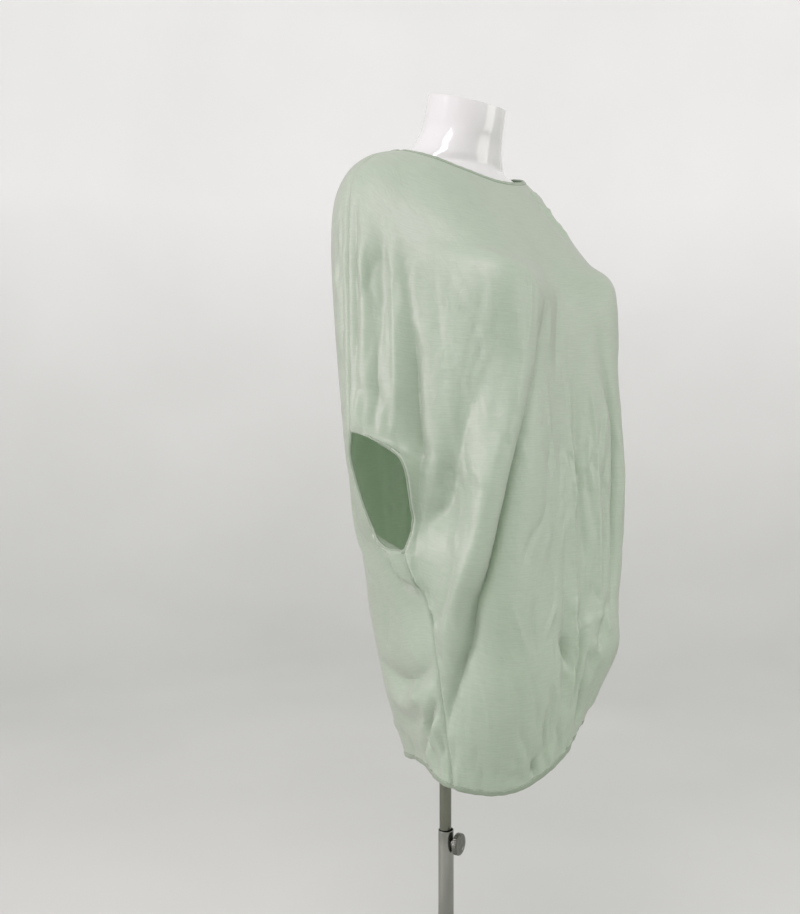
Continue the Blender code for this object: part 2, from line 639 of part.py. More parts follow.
def main():
    clear_scene()
    _, tree = build_form()
    build_tunic(tree)
    build_stand()


main()
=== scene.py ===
"""Looks of a batwing jersey tunic dressed on a bust form with a telescoping stand.

Metres, +Z up, origin on the floor at the pole's axis. The tunic faces -Y and its right
side is at -X. The tables give places as (out, forward, up): out from the middle plane,
forward from the pole's axis, up from the floor.
"""

import logging
import math
from collections.abc import Sequence
from dataclasses import dataclass
from enum import Enum
from typing import NamedTuple

import bmesh
import bpy
import numpy as np
from mathutils import Matrix, Vector, noise
from mathutils.bvhtree import BVHTree


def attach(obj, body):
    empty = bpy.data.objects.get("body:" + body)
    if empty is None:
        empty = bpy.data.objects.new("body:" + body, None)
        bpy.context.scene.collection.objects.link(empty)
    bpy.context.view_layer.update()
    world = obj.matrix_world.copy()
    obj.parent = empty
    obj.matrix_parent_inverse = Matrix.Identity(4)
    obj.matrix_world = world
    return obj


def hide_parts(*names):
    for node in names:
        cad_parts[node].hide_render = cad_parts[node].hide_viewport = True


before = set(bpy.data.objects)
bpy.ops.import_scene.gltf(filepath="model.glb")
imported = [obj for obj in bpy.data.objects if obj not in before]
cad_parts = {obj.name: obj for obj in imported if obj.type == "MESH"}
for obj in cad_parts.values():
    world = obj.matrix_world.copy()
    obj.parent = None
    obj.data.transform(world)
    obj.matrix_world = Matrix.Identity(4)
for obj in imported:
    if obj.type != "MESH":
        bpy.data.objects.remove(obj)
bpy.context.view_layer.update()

LOG = logging.getLogger("tunic_scene")
CLOTH_UV = "cloth"
WELD = 1e-6
TINY = 1e-6

Colour = tuple[float, float, float]
Place = tuple[float, float, float]


# ---------------------------------------------------------------- shader tools


class Signal:
    """One shader value, which takes part in Python expressions."""

    def __init__(self, graph: "Graph", socket: bpy.types.NodeSocket) -> None:
        """Keeps the graph that the value belongs to and its output socket."""
        self.graph = graph
        self.socket = socket

    def math(self, operation: str, *values: "Signal | float") -> "Signal":
        """Adds a Math node with this operation on the values."""
        return self.graph.node("ShaderNodeMath", {"operation": operation}, dict(enumerate(values)))

    def __add__(self, other: "Signal | float") -> "Signal":
        """self + other."""
        return self.math("ADD", self, other)

    def __mul__(self, other: "Signal | float") -> "Signal":
        """self * other."""
        return self.math("MULTIPLY", self, other)

    def __abs__(self) -> "Signal":
        """abs(self)."""
        return self.math("ABSOLUTE", self)

    def sine(self) -> "Signal":
        """The sine of the value in radians."""
        return self.math("SINE", self)

    def between(self, low: float, high: float) -> "Signal":
        """The value stretched so that low becomes 0 and high becomes 1, and clamped."""
        ends = {0: self, 1: low, 2: high, 3: 0.0, 4: 1.0}
        return self.graph.node("ShaderNodeMapRange", {"clamp": True}, ends)


class Graph:
    """A material's node tree with a Principled shader."""

    def __init__(self, name: str) -> None:
        """Starts a material of that name."""
        self.material = bpy.data.materials.new(name)
        self.material.use_nodes = True
        self.tree = self.material.node_tree
        self.shader = self.tree.nodes["Principled BSDF"]

    def node(
        self, kind: str, settings: dict | None = None, inputs: dict | None = None, output: int | str = 0
    ) -> Signal:
        """Adds a node of any type.

        Args:
            kind: the node's type.
            settings: its properties, which are set first.
            inputs: the values or signals of its sockets, by name or number.
            output: the output socket that is wanted.

        Returns:
            The output as a signal.
        """
        made = self.tree.nodes.new(kind)
        for key, value in (settings or {}).items():
            setattr(made, key, value)
        for key, value in (inputs or {}).items():
            self.feed(made.inputs[key], value)
        return Signal(self, made.outputs[output])

    def feed(self, socket: bpy.types.NodeSocket, value: "Signal | float | Sequence[float]") -> None:
        """Links a signal to a socket, or sets the socket's own value."""
        if isinstance(value, Signal):
            self.tree.links.new(value.socket, socket)
        else:
            socket.default_value = value

    def blend(self, share: Signal, first: Colour, second: Colour) -> Signal:
        """A colour between the first, at share 0, and the second, at share 1."""
        ends = {0: share, 6: (*first, 1.0), 7: (*second, 1.0)}
        return self.node("ShaderNodeMix", {"data_type": "RGBA"}, ends, 2)

    def places(self) -> Signal:
        """The shaded places in the piece's own metres."""
        return self.node("ShaderNodeTexCoord", {}, {}, "Object")

    def axis(self, places: Signal, axis: str) -> Signal:
        """One coordinate of a place."""
        return self.node("ShaderNodeSeparateXYZ", {}, {"Vector": places}, axis)

    def grain(self, places: Signal, stretch: Place, detail: float = 2.0, warp: float = 0.0) -> Signal:
        """Noise whose grains are 1/stretch metres long along each axis."""
        spread = self.node("ShaderNodeMapping", {}, {"Vector": places, "Scale": stretch})
        values = {"Vector": spread, "Scale": 1.0, "Detail": detail, "Distortion": warp}
        return self.node("ShaderNodeTexNoise", {}, values)

    def bump(self, height: Signal, depth: float, strength: float, under: Signal | None = None) -> Signal:
        """A normal bent by a height of 0 to 1 that stands for depth metres."""
        inputs: dict = {"Height": height, "Distance": depth, "Strength": strength}
        if under is not None:
            inputs["Normal"] = under
        return self.node("ShaderNodeBump", {}, inputs)

    def finish(self, **sockets: "Signal | float | Sequence[float]") -> bpy.types.Material:
        """Feeds the shader's sockets, named with underscores, and returns the material."""
        for name, value in sockets.items():
            self.feed(self.shader.inputs[name.replace("_", " ")], value)
        return self.material


# ---------------------------------------------------------------- finishes


@dataclass(frozen=True)
class JerseyFinish:
    """Fine slub jersey, coloured by the yarn's streaks and bumped by its stitches."""

    name: str
    yarn: Colour = (0.655, 0.782, 0.632)
    slub: Colour = (0.560, 0.690, 0.540)
    sheen: float = 0.75
    sheen_roughness: float = 0.55
    sheen_tint: Colour = (1.0, 0.87, 0.94)
    shine: float = 0.80
    shine_tint: Colour = (1.0, 0.84, 0.95)
    lustre: float = 1.90
    dull: float = 0.53
    stitch: float = 0.0011
    stitch_depth: float = 0.00010
    slub_depth: float = 0.00025
    crinkle_depth: float = 0.0014
    see_through: float = 0.46

    def make(self) -> bpy.types.Material:
        """Builds the material on the piece's own cloth map, which is in metres."""
        graph = Graph(self.name)
        cut = graph.node("ShaderNodeUVMap", {"uv_map": CLOTH_UV})
        streaks = graph.grain(cut, (42.0, 560.0, 1.0), 2.0)
        threads = graph.grain(cut, (150.0, 1500.0, 1.0), 1.0)
        dye = graph.grain(cut, (14.0, 9.0, 1.0), 3.0)
        tone = streaks * 0.45 + threads * 0.25 + dye * 0.30
        colour = graph.blend(tone.between(0.34, 0.66), self.slub, self.yarn)

        across, along = graph.axis(cut, "X"), graph.axis(cut, "Y")
        turn = 2 * math.pi / self.stitch
        wales = (across * turn).sine()
        courses = (along * (turn * 0.8) + abs((across * (turn / 2)).sine()) * 1.8).sine()
        knit = wales * 0.3 + courses * 0.2 + 0.5
        crumple = graph.grain(cut, (85.0, 60.0, 1.0), 3.0, 0.7)
        bent = graph.bump(crumple, self.crinkle_depth, 0.6)
        bent = graph.bump(streaks, self.slub_depth, 0.5, bent)
        bent = graph.bump(knit, self.stitch_depth, 0.6, bent)
        material = graph.finish(
            Base_Color=colour,
            Roughness=tone * -0.10 + self.dull,
            Normal=bent,
            Sheen_Weight=self.sheen,
            Sheen_Roughness=self.sheen_roughness,
            Sheen_Tint=(*self.sheen_tint, 1.0),
            Specular_IOR_Level=self.shine,
            Specular_Tint=(*self.shine_tint, 1.0),
            IOR=self.lustre,
        )
        self.thin(graph, colour, bent)
        return material

    def thin(self, graph: Graph, colour: Signal, bent: Signal) -> None:
        """Lets some of the light behind the cloth through it."""
        shown = graph.tree.nodes["Material Output"].inputs["Surface"]
        glow = graph.node("ShaderNodeBsdfTranslucent", {}, {"Color": colour, "Normal": bent})
        front = Signal(graph, graph.shader.outputs["BSDF"])
        mixed = graph.node("ShaderNodeMixShader", {}, {0: self.see_through, 1: front, 2: glow})
        graph.feed(shown, mixed)


@dataclass(frozen=True)
class ThreadFinish:
    """Twisted polyester sewing thread."""

    name: str = "sewing_thread"
    light: Colour = (0.56, 0.63, 0.54)
    dark: Colour = (0.42, 0.49, 0.40)

    def make(self) -> bpy.types.Material:
        """Builds the material from the twist's bright and dark bands."""
        graph = Graph(self.name)
        places = graph.places()
        twist = graph.grain(places, (2600.0, 2600.0, 3400.0), 1.0)
        bent = graph.bump(twist, 0.00008, 0.5)
        return graph.finish(
            Base_Color=graph.blend(twist.between(0.35, 0.65), self.dark, self.light),
            Roughness=twist * 0.15 + 0.45,
            Normal=bent,
            Sheen_Weight=0.2,
        )


@dataclass(frozen=True)
class GlossFinish:
    """The form's sprayed gloss skin with faint orange peel and handling marks."""

    name: str = "gloss_white_skin"
    clean: Colour = (0.69, 0.695, 0.685)
    handled: Colour = (0.66, 0.66, 0.65)

    def make(self) -> bpy.types.Material:
        """Builds the material on Object coordinates."""
        graph = Graph(self.name)
        places = graph.places()
        marks = graph.grain(places, (16.0, 16.0, 7.0), 4.0, 0.6)
        peel = graph.grain(places, (420.0, 420.0, 420.0), 1.0)
        return graph.finish(
            Base_Color=graph.blend(marks.between(0.45, 0.75), self.clean, self.handled),
            Roughness=marks.between(0.35, 0.8) * 0.10 + 0.13,
            Normal=graph.bump(peel, 0.00004, 0.35),
            Coat_Weight=0.6,
            Coat_Roughness=0.05,
            Specular_IOR_Level=0.5,
        )


@dataclass(frozen=True)
class ChromeFinish:
    """Chrome plate with hairline polish along the axis and a hazed roughness. Its colours are far darker than
    chrome's own, a painted reflection of dark surroundings.
    """

    name: str
    # Painted reflection: both colours are dark; dull marks the hazed plate.
    bright: Colour = (0.34, 0.35, 0.32)
    dull: Colour = (0.22, 0.23, 0.205)
    smooth: float = 0.13
    worn: float = 0.30

    def make(self) -> bpy.types.Material:
        """Builds the material on Object coordinates."""
        graph = Graph(self.name)
        places = graph.places()
        haze = graph.grain(places, (28.0, 28.0, 9.0), 4.0, 0.5)
        lines = graph.grain(places, (1500.0, 1500.0, 30.0), 1.0)
        wear = haze.between(0.4, 0.75)
        return graph.finish(
            Base_Color=graph.blend(wear, self.bright, self.dull),
            Metallic=1.0,
            Roughness=wear * (self.worn - self.smooth) + lines * 0.05 + self.smooth,
            Normal=graph.bump(lines, 0.00003, 0.25),
        )


@dataclass(frozen=True)
class StudioFinish:
    """Matt painted cove. Its floor is painted darker, a painted shade, and its walls glow more the higher
    they are, a painted light.
    """

    name: str = "studio_cove"
    paint: Colour = (0.93, 0.93, 0.925)
    # Painted shade: the floor's darker colour, which fades into the paint over fade metres of height.
    painted_floor_shade: Colour = (0.60, 0.61, 0.58)
    # Painted light: the glow's colours low and high, and its strength.
    unlit: Colour = (0.0, 0.0, 0.0)
    lit: Colour = (1.0, 1.0, 1.0)
    fade: float = 2.4
    lit_strength: float = 0.15

    def make(self) -> bpy.types.Material:
        """Builds the material on Object coordinates."""
        graph = Graph(self.name)
        places = graph.places()
        patches = graph.grain(places, (1.2, 1.2, 1.2), 2.0)
        # The share rises with height, with random patches; it sets both the painted floor shade and the
        # painted glow.
        share = graph.axis(places, "Z").between(0.0, self.fade) * 0.8 + patches * 0.2
        return graph.finish(
            Base_Color=graph.blend(share, self.painted_floor_shade, self.paint),
            Emission_Color=graph.blend(share, self.unlit, self.lit),
            Emission_Strength=self.lit_strength,
            Roughness=0.9,
        )


# ---------------------------------------------------------------- curves and meshes


def smoothstep(low: float, high: float, values: np.ndarray) -> np.ndarray:
    """0 below low, 1 above high and a smooth rise between."""
    part = np.clip((values - low) / (high - low), 0.0, 1.0)
    return part * part * (3.0 - 2.0 * part)


def unit(vectors: np.ndarray) -> np.ndarray:
    """The vectors at length 1."""
    return vectors / np.maximum(np.linalg.norm(vectors, axis=-1, keepdims=True), 1e-12)


def hermite(
    part: np.ndarray, start: np.ndarray, leave: np.ndarray, end: np.ndarray, arrive: np.ndarray
) -> np.ndarray:
    """A cubic from start to end that leaves and arrives with the given slopes."""
    return (
        (2 * part**3 - 3 * part**2 + 1) * start
        + (part**3 - 2 * part**2 + part) * leave
        + (3 * part**2 - 2 * part**3) * end
        + (part**3 - part**2) * arrive
    )


def even_curve(points: Sequence, at: np.ndarray) -> np.ndarray:
    """A smooth curve through points numbered 0, 1, 2..., at the numbers in at."""
    knots = np.asarray(points, float)
    slopes = np.gradient(knots, axis=0)
    i = np.clip(np.floor(at + 1e-9).astype(int), 0, len(knots) - 2)
    return hermite((at - i)[:, None], knots[i], slopes[i], knots[i + 1], slopes[i + 1])


def taut_curves(knots: np.ndarray, points: np.ndarray, at: np.ndarray) -> np.ndarray:
    """One place on each of many curves that never swing out past their points.

    Args:
        knots: rising numbers, one for each point of a curve.
        points: the curves' points, as (curve, point, 3).
        at: where on each curve the place is, between the knots.

    Returns:
        The places, as (curve, 3).
    """
    strides = np.diff(points, axis=1)
    lengths = np.linalg.norm(strides, axis=2)[..., None]
    ways = strides / lengths
    middle = unit(ways[:, :-1] * lengths[:, 1:] + ways[:, 1:] * lengths[:, :-1])
    ways = np.concatenate([ways[:, :1], middle, ways[:, -1:]], axis=1)
    i = np.clip(np.searchsorted(knots, at, side="right") - 1, 0, len(knots) - 2)
    part = ((at - knots[i]) / (knots[i + 1] - knots[i]))[:, None]
    n = np.arange(len(at))
    reach = lengths[n, i]
    return hermite(part, points[n, i], ways[n, i] * reach, points[n, i + 1], ways[n, i + 1] * reach)


def shaped_grid(
    name: str,
    points: np.ndarray,
    outward: np.ndarray | None = None,
    flat: np.ndarray | None = None,
    closed: bool = False,
) -> bpy.types.Object:
    """Makes a grid and moves its points to their places.

    Args:
        name: the piece's name.
        points: places as (row, column, 3). Places that meet are merged if closed.
        outward: normals as (row, column, 3) that an open grid's faces should follow.
        flat: the cloth map's places in metres, as (row, column, 2).
        closed: whether the grid closes on itself.

    Returns:
        The piece, smooth and at the origin.
    """
    rows, columns = points.shape[0] - 1, points.shape[1] - 1
    bm = bmesh.new()
    bmesh.ops.create_grid(bm, x_segments=columns, y_segments=rows, size=1.0)
    bm.verts.index_update()
    spots = np.array([vert.co[:2] for vert in bm.verts])
    column = np.rint((spots[:, 0] + 1) / 2 * columns).astype(int)
    row = np.rint((1 - spots[:, 1]) / 2 * rows).astype(int)
    for vert in bm.verts:
        vert.co = points[row[vert.index], column[vert.index]]
    if flat is not None:
        layer = bm.loops.layers.uv.new(CLOTH_UV)
        for face in bm.faces:
            for loop in face.loops:
                loop[layer].uv = flat[row[loop.vert.index], column[loop.vert.index]]
    if closed:
        close_up(bm)
    elif outward is not None:
        bm.normal_update()
        votes = sum(
            face.normal.dot(Vector(outward[row[face.verts[0].index], column[face.verts[0].index]]))
            for face in bm.faces
        )
        if votes < 0:
            bmesh.ops.reverse_faces(bm, faces=bm.faces)
    return from_bmesh(name, bm)


def from_bmesh(name: str, bm: bmesh.types.BMesh, sharp: float = 40.0) -> bpy.types.Object:
    """Turns a bmesh into a piece, smooth but for edges sharper than that many degrees."""
    mesh = bpy.data.meshes.new(name)
    bm.to_mesh(mesh)
    bm.free()
    mesh.shade_smooth()
    mesh.set_sharp_from_angle(angle=math.radians(sharp))
    made = bpy.data.objects.new(name, mesh)
    bpy.context.scene.collection.objects.link(made)
    return made


def close_up(bm: bmesh.types.BMesh) -> None:
    """Merges the places that meet and turns a closed body's faces outwards."""
    bmesh.ops.remove_doubles(bm, verts=bm.verts, dist=WELD)
    bmesh.ops.recalc_face_normals(bm, faces=bm.faces)
    if bm.calc_volume(signed=True) < 0:
        bmesh.ops.reverse_faces(bm, faces=bm.faces)


def spun(outline: Sequence[tuple[float, float]], sides: int, looped: bool = False) -> bmesh.types.BMesh:
    """A skin turned about Z from (radius, up) points.

    Args:
        outline: the points, from one end to the other.
        sides: how many steps the turn has.
        looped: whether the outline closes on itself.

    Returns:
        The skin as a bmesh.
    """
    bm = bmesh.new()
    verts = [bm.verts.new((radius, 0.0, up)) for radius, up in outline]
    pairs = list(zip(verts, verts[1:]))
    if looped:
        pairs.append((verts[-1], verts[0]))
    edges = [bm.edges.new(pair) for pair in pairs]
    whole = {"cent": (0, 0, 0), "axis": (0, 0, 1), "angle": 2 * math.pi, "use_merge": True}
    bmesh.ops.spin(bm, geom=verts + edges, steps=sides, **whole)
    return bm


def turned(corners: Sequence[tuple[float, float, float]], sides: int) -> bmesh.types.BMesh:
    """A closed body turned about Z from an outline's radius, up and rounding."""
    outline = rounded(corners)
    bm = spun(outline, sides, looped=outline[0][0] > 0)
    close_up(bm)
    return bm


def rounded(corners: Sequence[tuple[float, float, float]], steps: int = 5) -> list[tuple[float, float]]:
    """An outline of (radius, up) points with round corners.

    Args:
        corners: radius, up and the corner's own rounding, which is 0 where it is sharp.
        steps: how many points each round corner has.

    Returns:
        The outline's points.
    """
    found: list[tuple[float, float]] = []
    for n, (radius, up, rounding) in enumerate(corners):
        if rounding <= 0:
            found.append((radius, up))
            continue
        here = np.array((radius, up))
        before = unit(np.array(corners[n - 1][:2]) - here)
        after = unit(np.array(corners[(n + 1) % len(corners)][:2]) - here)
        for part in np.linspace(0.0, 1.0, steps):
            one, two = here + before * rounding * (1 - part), here + after * rounding * part
            found.append(tuple(one * (1 - part) + two * part))
    return found


# ---------------------------------------------------------------- the tunic's tables


class Panel(Enum):
    """The two cut pieces of the tunic's body."""

    FRONT = "front"
    BACK = "back"


class Side(Enum):
    """The wearer's sides, by the sign of their X."""

    RIGHT = -1
    LEFT = 1


class Section(NamedTuple):
    """One level of a panel, from the seam's edge over side and crest to the middle."""

    edge: Place
    side: Place
    crest: Place
    middle: Place


class Crease(NamedTuple):
    """A trough, or a ridge where depth is above 0, along (across, section) places.

    left and right are its widths on each side, looking at the cloth from outside and
    going down the path.
    """

    panel: Panel
    left: float
    right: float
    depth: float
    path: tuple[tuple[float, float], ...]


class Crumple(NamedTuple):
    """A patch of small uneven creases round (across, section)."""

    panel: Panel
    across: float
    section: float
    wide: float
    tall: float
    count: int
    slant: float
    length: float
    depth: float


def table(kind: type, *rows: tuple) -> tuple:
    """Rows of values as things of that kind."""
    return tuple(kind(*row) for row in rows)


def creases(*rows: tuple) -> tuple[Crease, ...]:
    """Creases from rows of panel, left, right and depth in millimetres, and the path's places."""
    return tuple(
        Crease(panel, left / 1000, right / 1000, depth / 1000, tuple(path))
        for panel, left, right, depth, *path in rows
    )


F, B = Panel.FRONT, Panel.BACK

FRONT = table(
    Section,
    ((0.112, 0.025, 1.444), (0.096, 0.062, 1.433), (0.058, 0.087, 1.419), (0, 0.096, 1.411)),
    ((0.150, 0.018, 1.432), (0.130, 0.070, 1.407), (0.078, 0.110, 1.387), (0, 0.120, 1.379)),
    ((0.180, 0.018, 1.408), (0.160, 0.083, 1.363), (0.094, 0.140, 1.343), (0, 0.150, 1.338)),
    ((0.197, 0.020, 1.372), (0.171, 0.093, 1.321), (0.101, 0.173, 1.302), (0, 0.181, 1.295)),
    ((0.204, 0.024, 1.300), (0.176, 0.105, 1.268), (0.106, 0.213, 1.262), (0, 0.205, 1.245)),
    ((0.207, 0.029, 1.180), (0.178, 0.112, 1.165), (0.116, 0.213, 1.155), (0, 0.209, 1.150)),
    ((0.210, 0.035, 1.072), (0.176, 0.116, 1.065), (0.127, 0.212, 1.070), (0, 0.211, 1.070)),
    ((0.197, 0.110, 1.045), (0.174, 0.130, 1.030), (0.134, 0.210, 1.020), (0, 0.213, 1.020)),
    ((0.181, 0.114, 0.975), (0.167, 0.128, 0.968), (0.141, 0.203, 0.965), (0, 0.215, 0.965)),
    ((0.171, 0.097, 0.926), (0.165, 0.134, 0.915), (0.148, 0.194, 0.900), (0, 0.217, 0.900)),
    ((0.155, 0.123, 0.850), (0.154, 0.153, 0.840), (0.141, 0.189, 0.830), (0, 0.222, 0.820)),
    ((0.149, 0.134, 0.745), (0.140, 0.165, 0.742), (0.115, 0.200, 0.738), (0, 0.222, 0.740)),
    ((0.132, 0.138, 0.633), (0.117, 0.156, 0.627), (0.085, 0.177, 0.622), (0, 0.209, 0.642)),
)
BACK = table(
    Section,
    ((0.112, 0.025, 1.444), (0.098, -0.012, 1.449), (0.058, -0.040, 1.452), (0, -0.050, 1.453)),
    ((0.150, 0.018, 1.432), (0.140, -0.022, 1.432), (0.085, -0.055, 1.430), (0, -0.066, 1.428)),
    ((0.180, 0.018, 1.408), (0.168, -0.026, 1.404), (0.105, -0.064, 1.390), (0, -0.075, 1.386)),
    ((0.197, 0.020, 1.372), (0.182, -0.030, 1.362), (0.117, -0.072, 1.342), (0, -0.083, 1.335)),
    ((0.204, 0.024, 1.300), (0.184, -0.030, 1.285), (0.120, -0.077, 1.260), (0, -0.088, 1.250)),
    ((0.207, 0.029, 1.180), (0.175, -0.030, 1.165), (0.120, -0.077, 1.150), (0, -0.088, 1.140)),
    ((0.210, 0.035, 1.072), (0.170, -0.022, 1.065), (0.117, -0.071, 1.060), (0, -0.083, 1.055)),
    ((0.200, 0.024, 1.030), (0.162, -0.022, 1.020), (0.113, -0.067, 1.010), (0, -0.080, 1.005)),
    ((0.178, 0.043, 0.947), (0.152, -0.018, 0.945), (0.108, -0.060, 0.945), (0, -0.075, 0.940)),
    ((0.171, 0.097, 0.926), (0.158, 0.028, 0.898), (0.118, -0.040, 0.880), (0, -0.068, 0.880)),
    ((0.155, 0.123, 0.850), (0.147, 0.045, 0.830), (0.108, -0.036, 0.810), (0, -0.055, 0.800)),
    ((0.149, 0.134, 0.745), (0.132, 0.050, 0.730), (0.085, -0.030, 0.715), (0, -0.042, 0.710)),
    ((0.132, 0.138, 0.633), (0.105, 0.060, 0.638), (0.062, -0.018, 0.626), (0, -0.030, 0.624)),
)

# The long trough from the bust to the side seam, below where it starts.
LONG_TROUGH = (
    (-0.22, 5), (-0.30, 6), (-0.332, 7), (-0.352, 8), (-0.385, 9), (-0.505, 10), (-0.70, 10.55),
    (-0.89, 11.05), (-0.98, 11.4),
)

# The largest folds, on both sides.
FOLDS = creases(
    (F, 10, 24, -15, (-0.16, 4.1), *LONG_TROUGH),
    (F, 5, 7.5, -11, (-0.17, 4.2), *LONG_TROUGH),
    (F, 20, 24, 16, (-0.30, 4.3), (-0.43, 6.5), (-0.47, 8.8), (-0.70, 10.0), (-0.98, 10.8)),
    (F, 16, 16, -10, (0.20, 4.3), (0.32, 5.8), (0.31, 7), (0.27, 8.5), (0.23, 10.2)),
    (F, 6, 6, -7, (0.22, 4.5), (0.32, 5.8), (0.31, 7), (0.27, 8.5), (0.23, 10.2)),
    (F, 16, 16, -11, (0.42, 8.4), (0.52, 9.6), (0.68, 10.5), (0.92, 11.2)),
    (F, 50, 50, 9, (0.24, 9.8), (0.28, 10.6), (0.34, 11.2), (0.42, 11.95)),
    (F, 18, 18, 3, (0.32, 4.6), (0.43, 6.5), (0.46, 8.8), (0.68, 10.0), (0.95, 10.8)),
)

# Creases that both sides have. The left side's are alike but not the same.
PAIRED = creases(
    (F, 10, 10, -6, (-0.80, 3.3), (-0.83, 4), (-0.83, 4.5), (-0.845, 5), (-0.875, 5.95)),
    (F, 15, 7, -12.5, (-0.735, 3.3), (-0.715, 4.5), (-0.705, 5.4), (-0.71, 6.5), (-0.74, 7),
     (-0.84, 8), (-0.95, 8.8)),
    (F, 5, 5, -3.5, (-0.712, 4.4), (-0.703, 5.2), (-0.706, 6), (-0.72, 6.8)),
    (F, 7, 20, 11, (-0.79, 2.9), (-0.78, 4.2), (-0.78, 5.2), (-0.79, 6)),
    (F, 20, 18, -16, (-0.44, 4.7), (-0.54, 5.75), (-0.585, 6.6), (-0.62, 7.6), (-0.69, 8.0),
     (-0.78, 8.4), (-0.95, 8.75)),
    (F, 10, 9, -7, (-0.53, 8.8), (-0.60, 9.35), (-0.69, 9.7), (-0.80, 9.95), (-0.93, 10.1)),
    (F, 12, 12, 4, (-0.90, 2.8), (-0.905, 4), (-0.91, 5.7)),
    (F, 6, 6, -6, (-0.955, 3.0), (-0.955, 4.2), (-0.962, 5.6)),
    (F, 4, 4, -1.4, (-0.925, 3.5), (-0.93, 4.6)),
    (F, 4, 4, -1.6, (-0.885, 3.8), (-0.89, 5.1)),
    (B, 4, 4, -3, (-0.93, 3.3), (-0.94, 4.5), (-0.93, 5.6)),
    (B, 14, 14, -12, (-0.48, 10.5), (-0.66, 10.75), (-0.78, 10.8), (-0.90, 10.74), (-1.0, 10.5)),
    (B, 14, 12, 8, (-0.58, 11.0), (-0.72, 11.1), (-0.86, 11.0), (-0.98, 10.85)),
    (B, 10, 10, -5, (-0.60, 11.28), (-0.75, 11.32), (-0.90, 11.22)),
    (B, 8, 6, -8, (-0.93, 11.15), (-0.88, 11.45), (-0.80, 11.75), (-0.77, 11.95)),
    (B, 6, 6, 6, (-0.99, 11.1), (-0.95, 11.35), (-0.89, 11.65), (-0.86, 11.9)),
    (B, 5, 4, -8, (-0.985, 10.95), (-0.93, 11.25), (-0.90, 11.55), (-0.93, 11.95)),
    (B, 5, 5, 5, (-0.96, 10.95), (-0.90, 11.2), (-0.86, 11.5), (-0.87, 11.9)),
    (B, 4, 4, -5, (-0.98, 11.35), (-0.97, 11.6), (-0.91, 11.9)),
    (B, 6, 7, -3, (-0.72, 9.2), (-0.68, 10), (-0.60, 10.4)),
    (B, 3.5, 18, 18, (-0.985, 8.0), (-0.95, 8.6), (-0.93, 9.05), (-0.935, 9.4), (-0.985, 9.65)),
    (B, 9, 6, -15, (-0.965, 7.8), (-0.915, 8.6), (-0.89, 9.1), (-0.90, 9.5), (-0.95, 9.75)),
    (F, 14, 4, 6, (-0.965, 9.0), (-0.965, 9.3), (-0.99, 9.6)),
    (B, 6, 6, -6, (-0.62, 6.2), (-0.64, 7.4), (-0.60, 8.8)),
    (B, 5, 6, -6, (-0.74, 6.1), (-0.76, 7.2), (-0.72, 8.4)),
    (B, 5, 5, -5, (-0.85, 6.0), (-0.87, 6.9), (-0.84, 8.0)),
    (F, 8, 7, -4, (-0.86, 11.4), (-0.93, 11.7), (-0.97, 11.95)),
    (B, 15, 15, -6, (-0.55, 3.8), (-0.58, 6), (-0.62, 8.2)),
    (B, 18, 18, -6, (-0.20, 5.2), (-0.22, 7.5), (-0.14, 10.5)),
    (B, 8, 10, -4, (-0.38, 6.4), (-0.40, 8.0), (-0.47, 9.6)),
    (B, 10, 10, 4, (-0.70, 6.6), (-0.66, 8.0), (-0.60, 9.4)),
)

# Creases of one side alone.
SINGLE = creases(
    (F, 8, 8, -4, (-0.03, 4.0), (-0.04, 4.5), (-0.06, 5.1)),
    (F, 6, 6, 2, (-0.115, 4.2), (-0.12, 4.8)),
    (F, 5, 4, -4.5, (0.52, 0.15), (0.42, 0.9), (0.39, 1.6), (0.41, 2.4)),
    (F, 4, 5, 3, (0.56, 0.15), (0.46, 0.9), (0.43, 1.6), (0.46, 2.4)),
    (F, 4.5, 4.5, 4, (0.03, 5.2), (0.04, 6), (0.045, 7), (0.03, 8.5), (0.045, 9.9)),
    (F, 8, 8, -6, (0.075, 4.9), (0.07, 6), (0.08, 7.5), (0.085, 9), (0.09, 10.1)),
    (F, 6, 6, 4.5, (0.16, 5.1), (0.18, 6), (0.17, 7.5), (0.16, 9.3), (0.15, 10.1)),
    (F, 6, 6, -5, (0.215, 6.8), (0.20, 8.4), (0.175, 9.6)),
    (F, 8, 8, -7, (-0.01, 8.4), (-0.02, 9.4), (-0.03, 10.2), (-0.05, 10.9), (-0.05, 11.35)),
    (F, 6, 6, -6, (0.06, 9.0), (0.055, 10.2), (0.04, 11), (0.03, 11.35)),
    (F, 5, 5, 4, (0.012, 10.2), (0.0, 11.3)),
    (F, 5, 5, -5, (0.10, 10.6), (0.10, 11.2)),
    (F, 6, 6, -5, (0.18, 10.0), (0.16, 10.5), (0.14, 11.1)),
    (F, 4, 3, -4.5, (-0.235, 11.72), (-0.22, 11.86), (-0.20, 11.99)),
    (F, 4, 4, -2.5, (-0.38, 11.55), (-0.30, 11.7), (-0.21, 11.92)),
    (F, 4, 4, -2.5, (-0.43, 11.76), (-0.33, 11.83), (-0.22, 11.95)),
    (F, 5, 5, -3, (-0.34, 11.2), (-0.29, 11.5), (-0.21, 11.9)),
    (F, 5, 5, -7, (-0.17, 11.1), (-0.165, 11.5), (-0.14, 11.95)),
    (F, 6, 5, -5, (-0.13, 10.8), (-0.128, 11.3), (-0.12, 11.8)),
    (F, 4, 4, -4.5, (-0.10, 11.3), (-0.05, 11.7), (-0.03, 11.98)),
    (F, 6, 5, -9, (0.08, 11.0), (0.10, 11.4), (0.09, 11.75)),
    (F, 6, 6, -2, (-0.63, 11.45), (-0.68, 11.8)),
    (F, 9, 9, 3, (-0.64, 5.8), (-0.655, 6.6), (-0.68, 7.3)),
    (B, 16, 16, 5, (0.02, 5.5), (0.00, 8), (-0.02, 11)),
    (B, 10, 12, -5, (0.05, 1.2), (0.02, 2.6), (0.04, 4.4)),
    (B, 12, 12, -4, (-0.32, 1.4), (-0.22, 3.0), (-0.20, 4.6)),
)

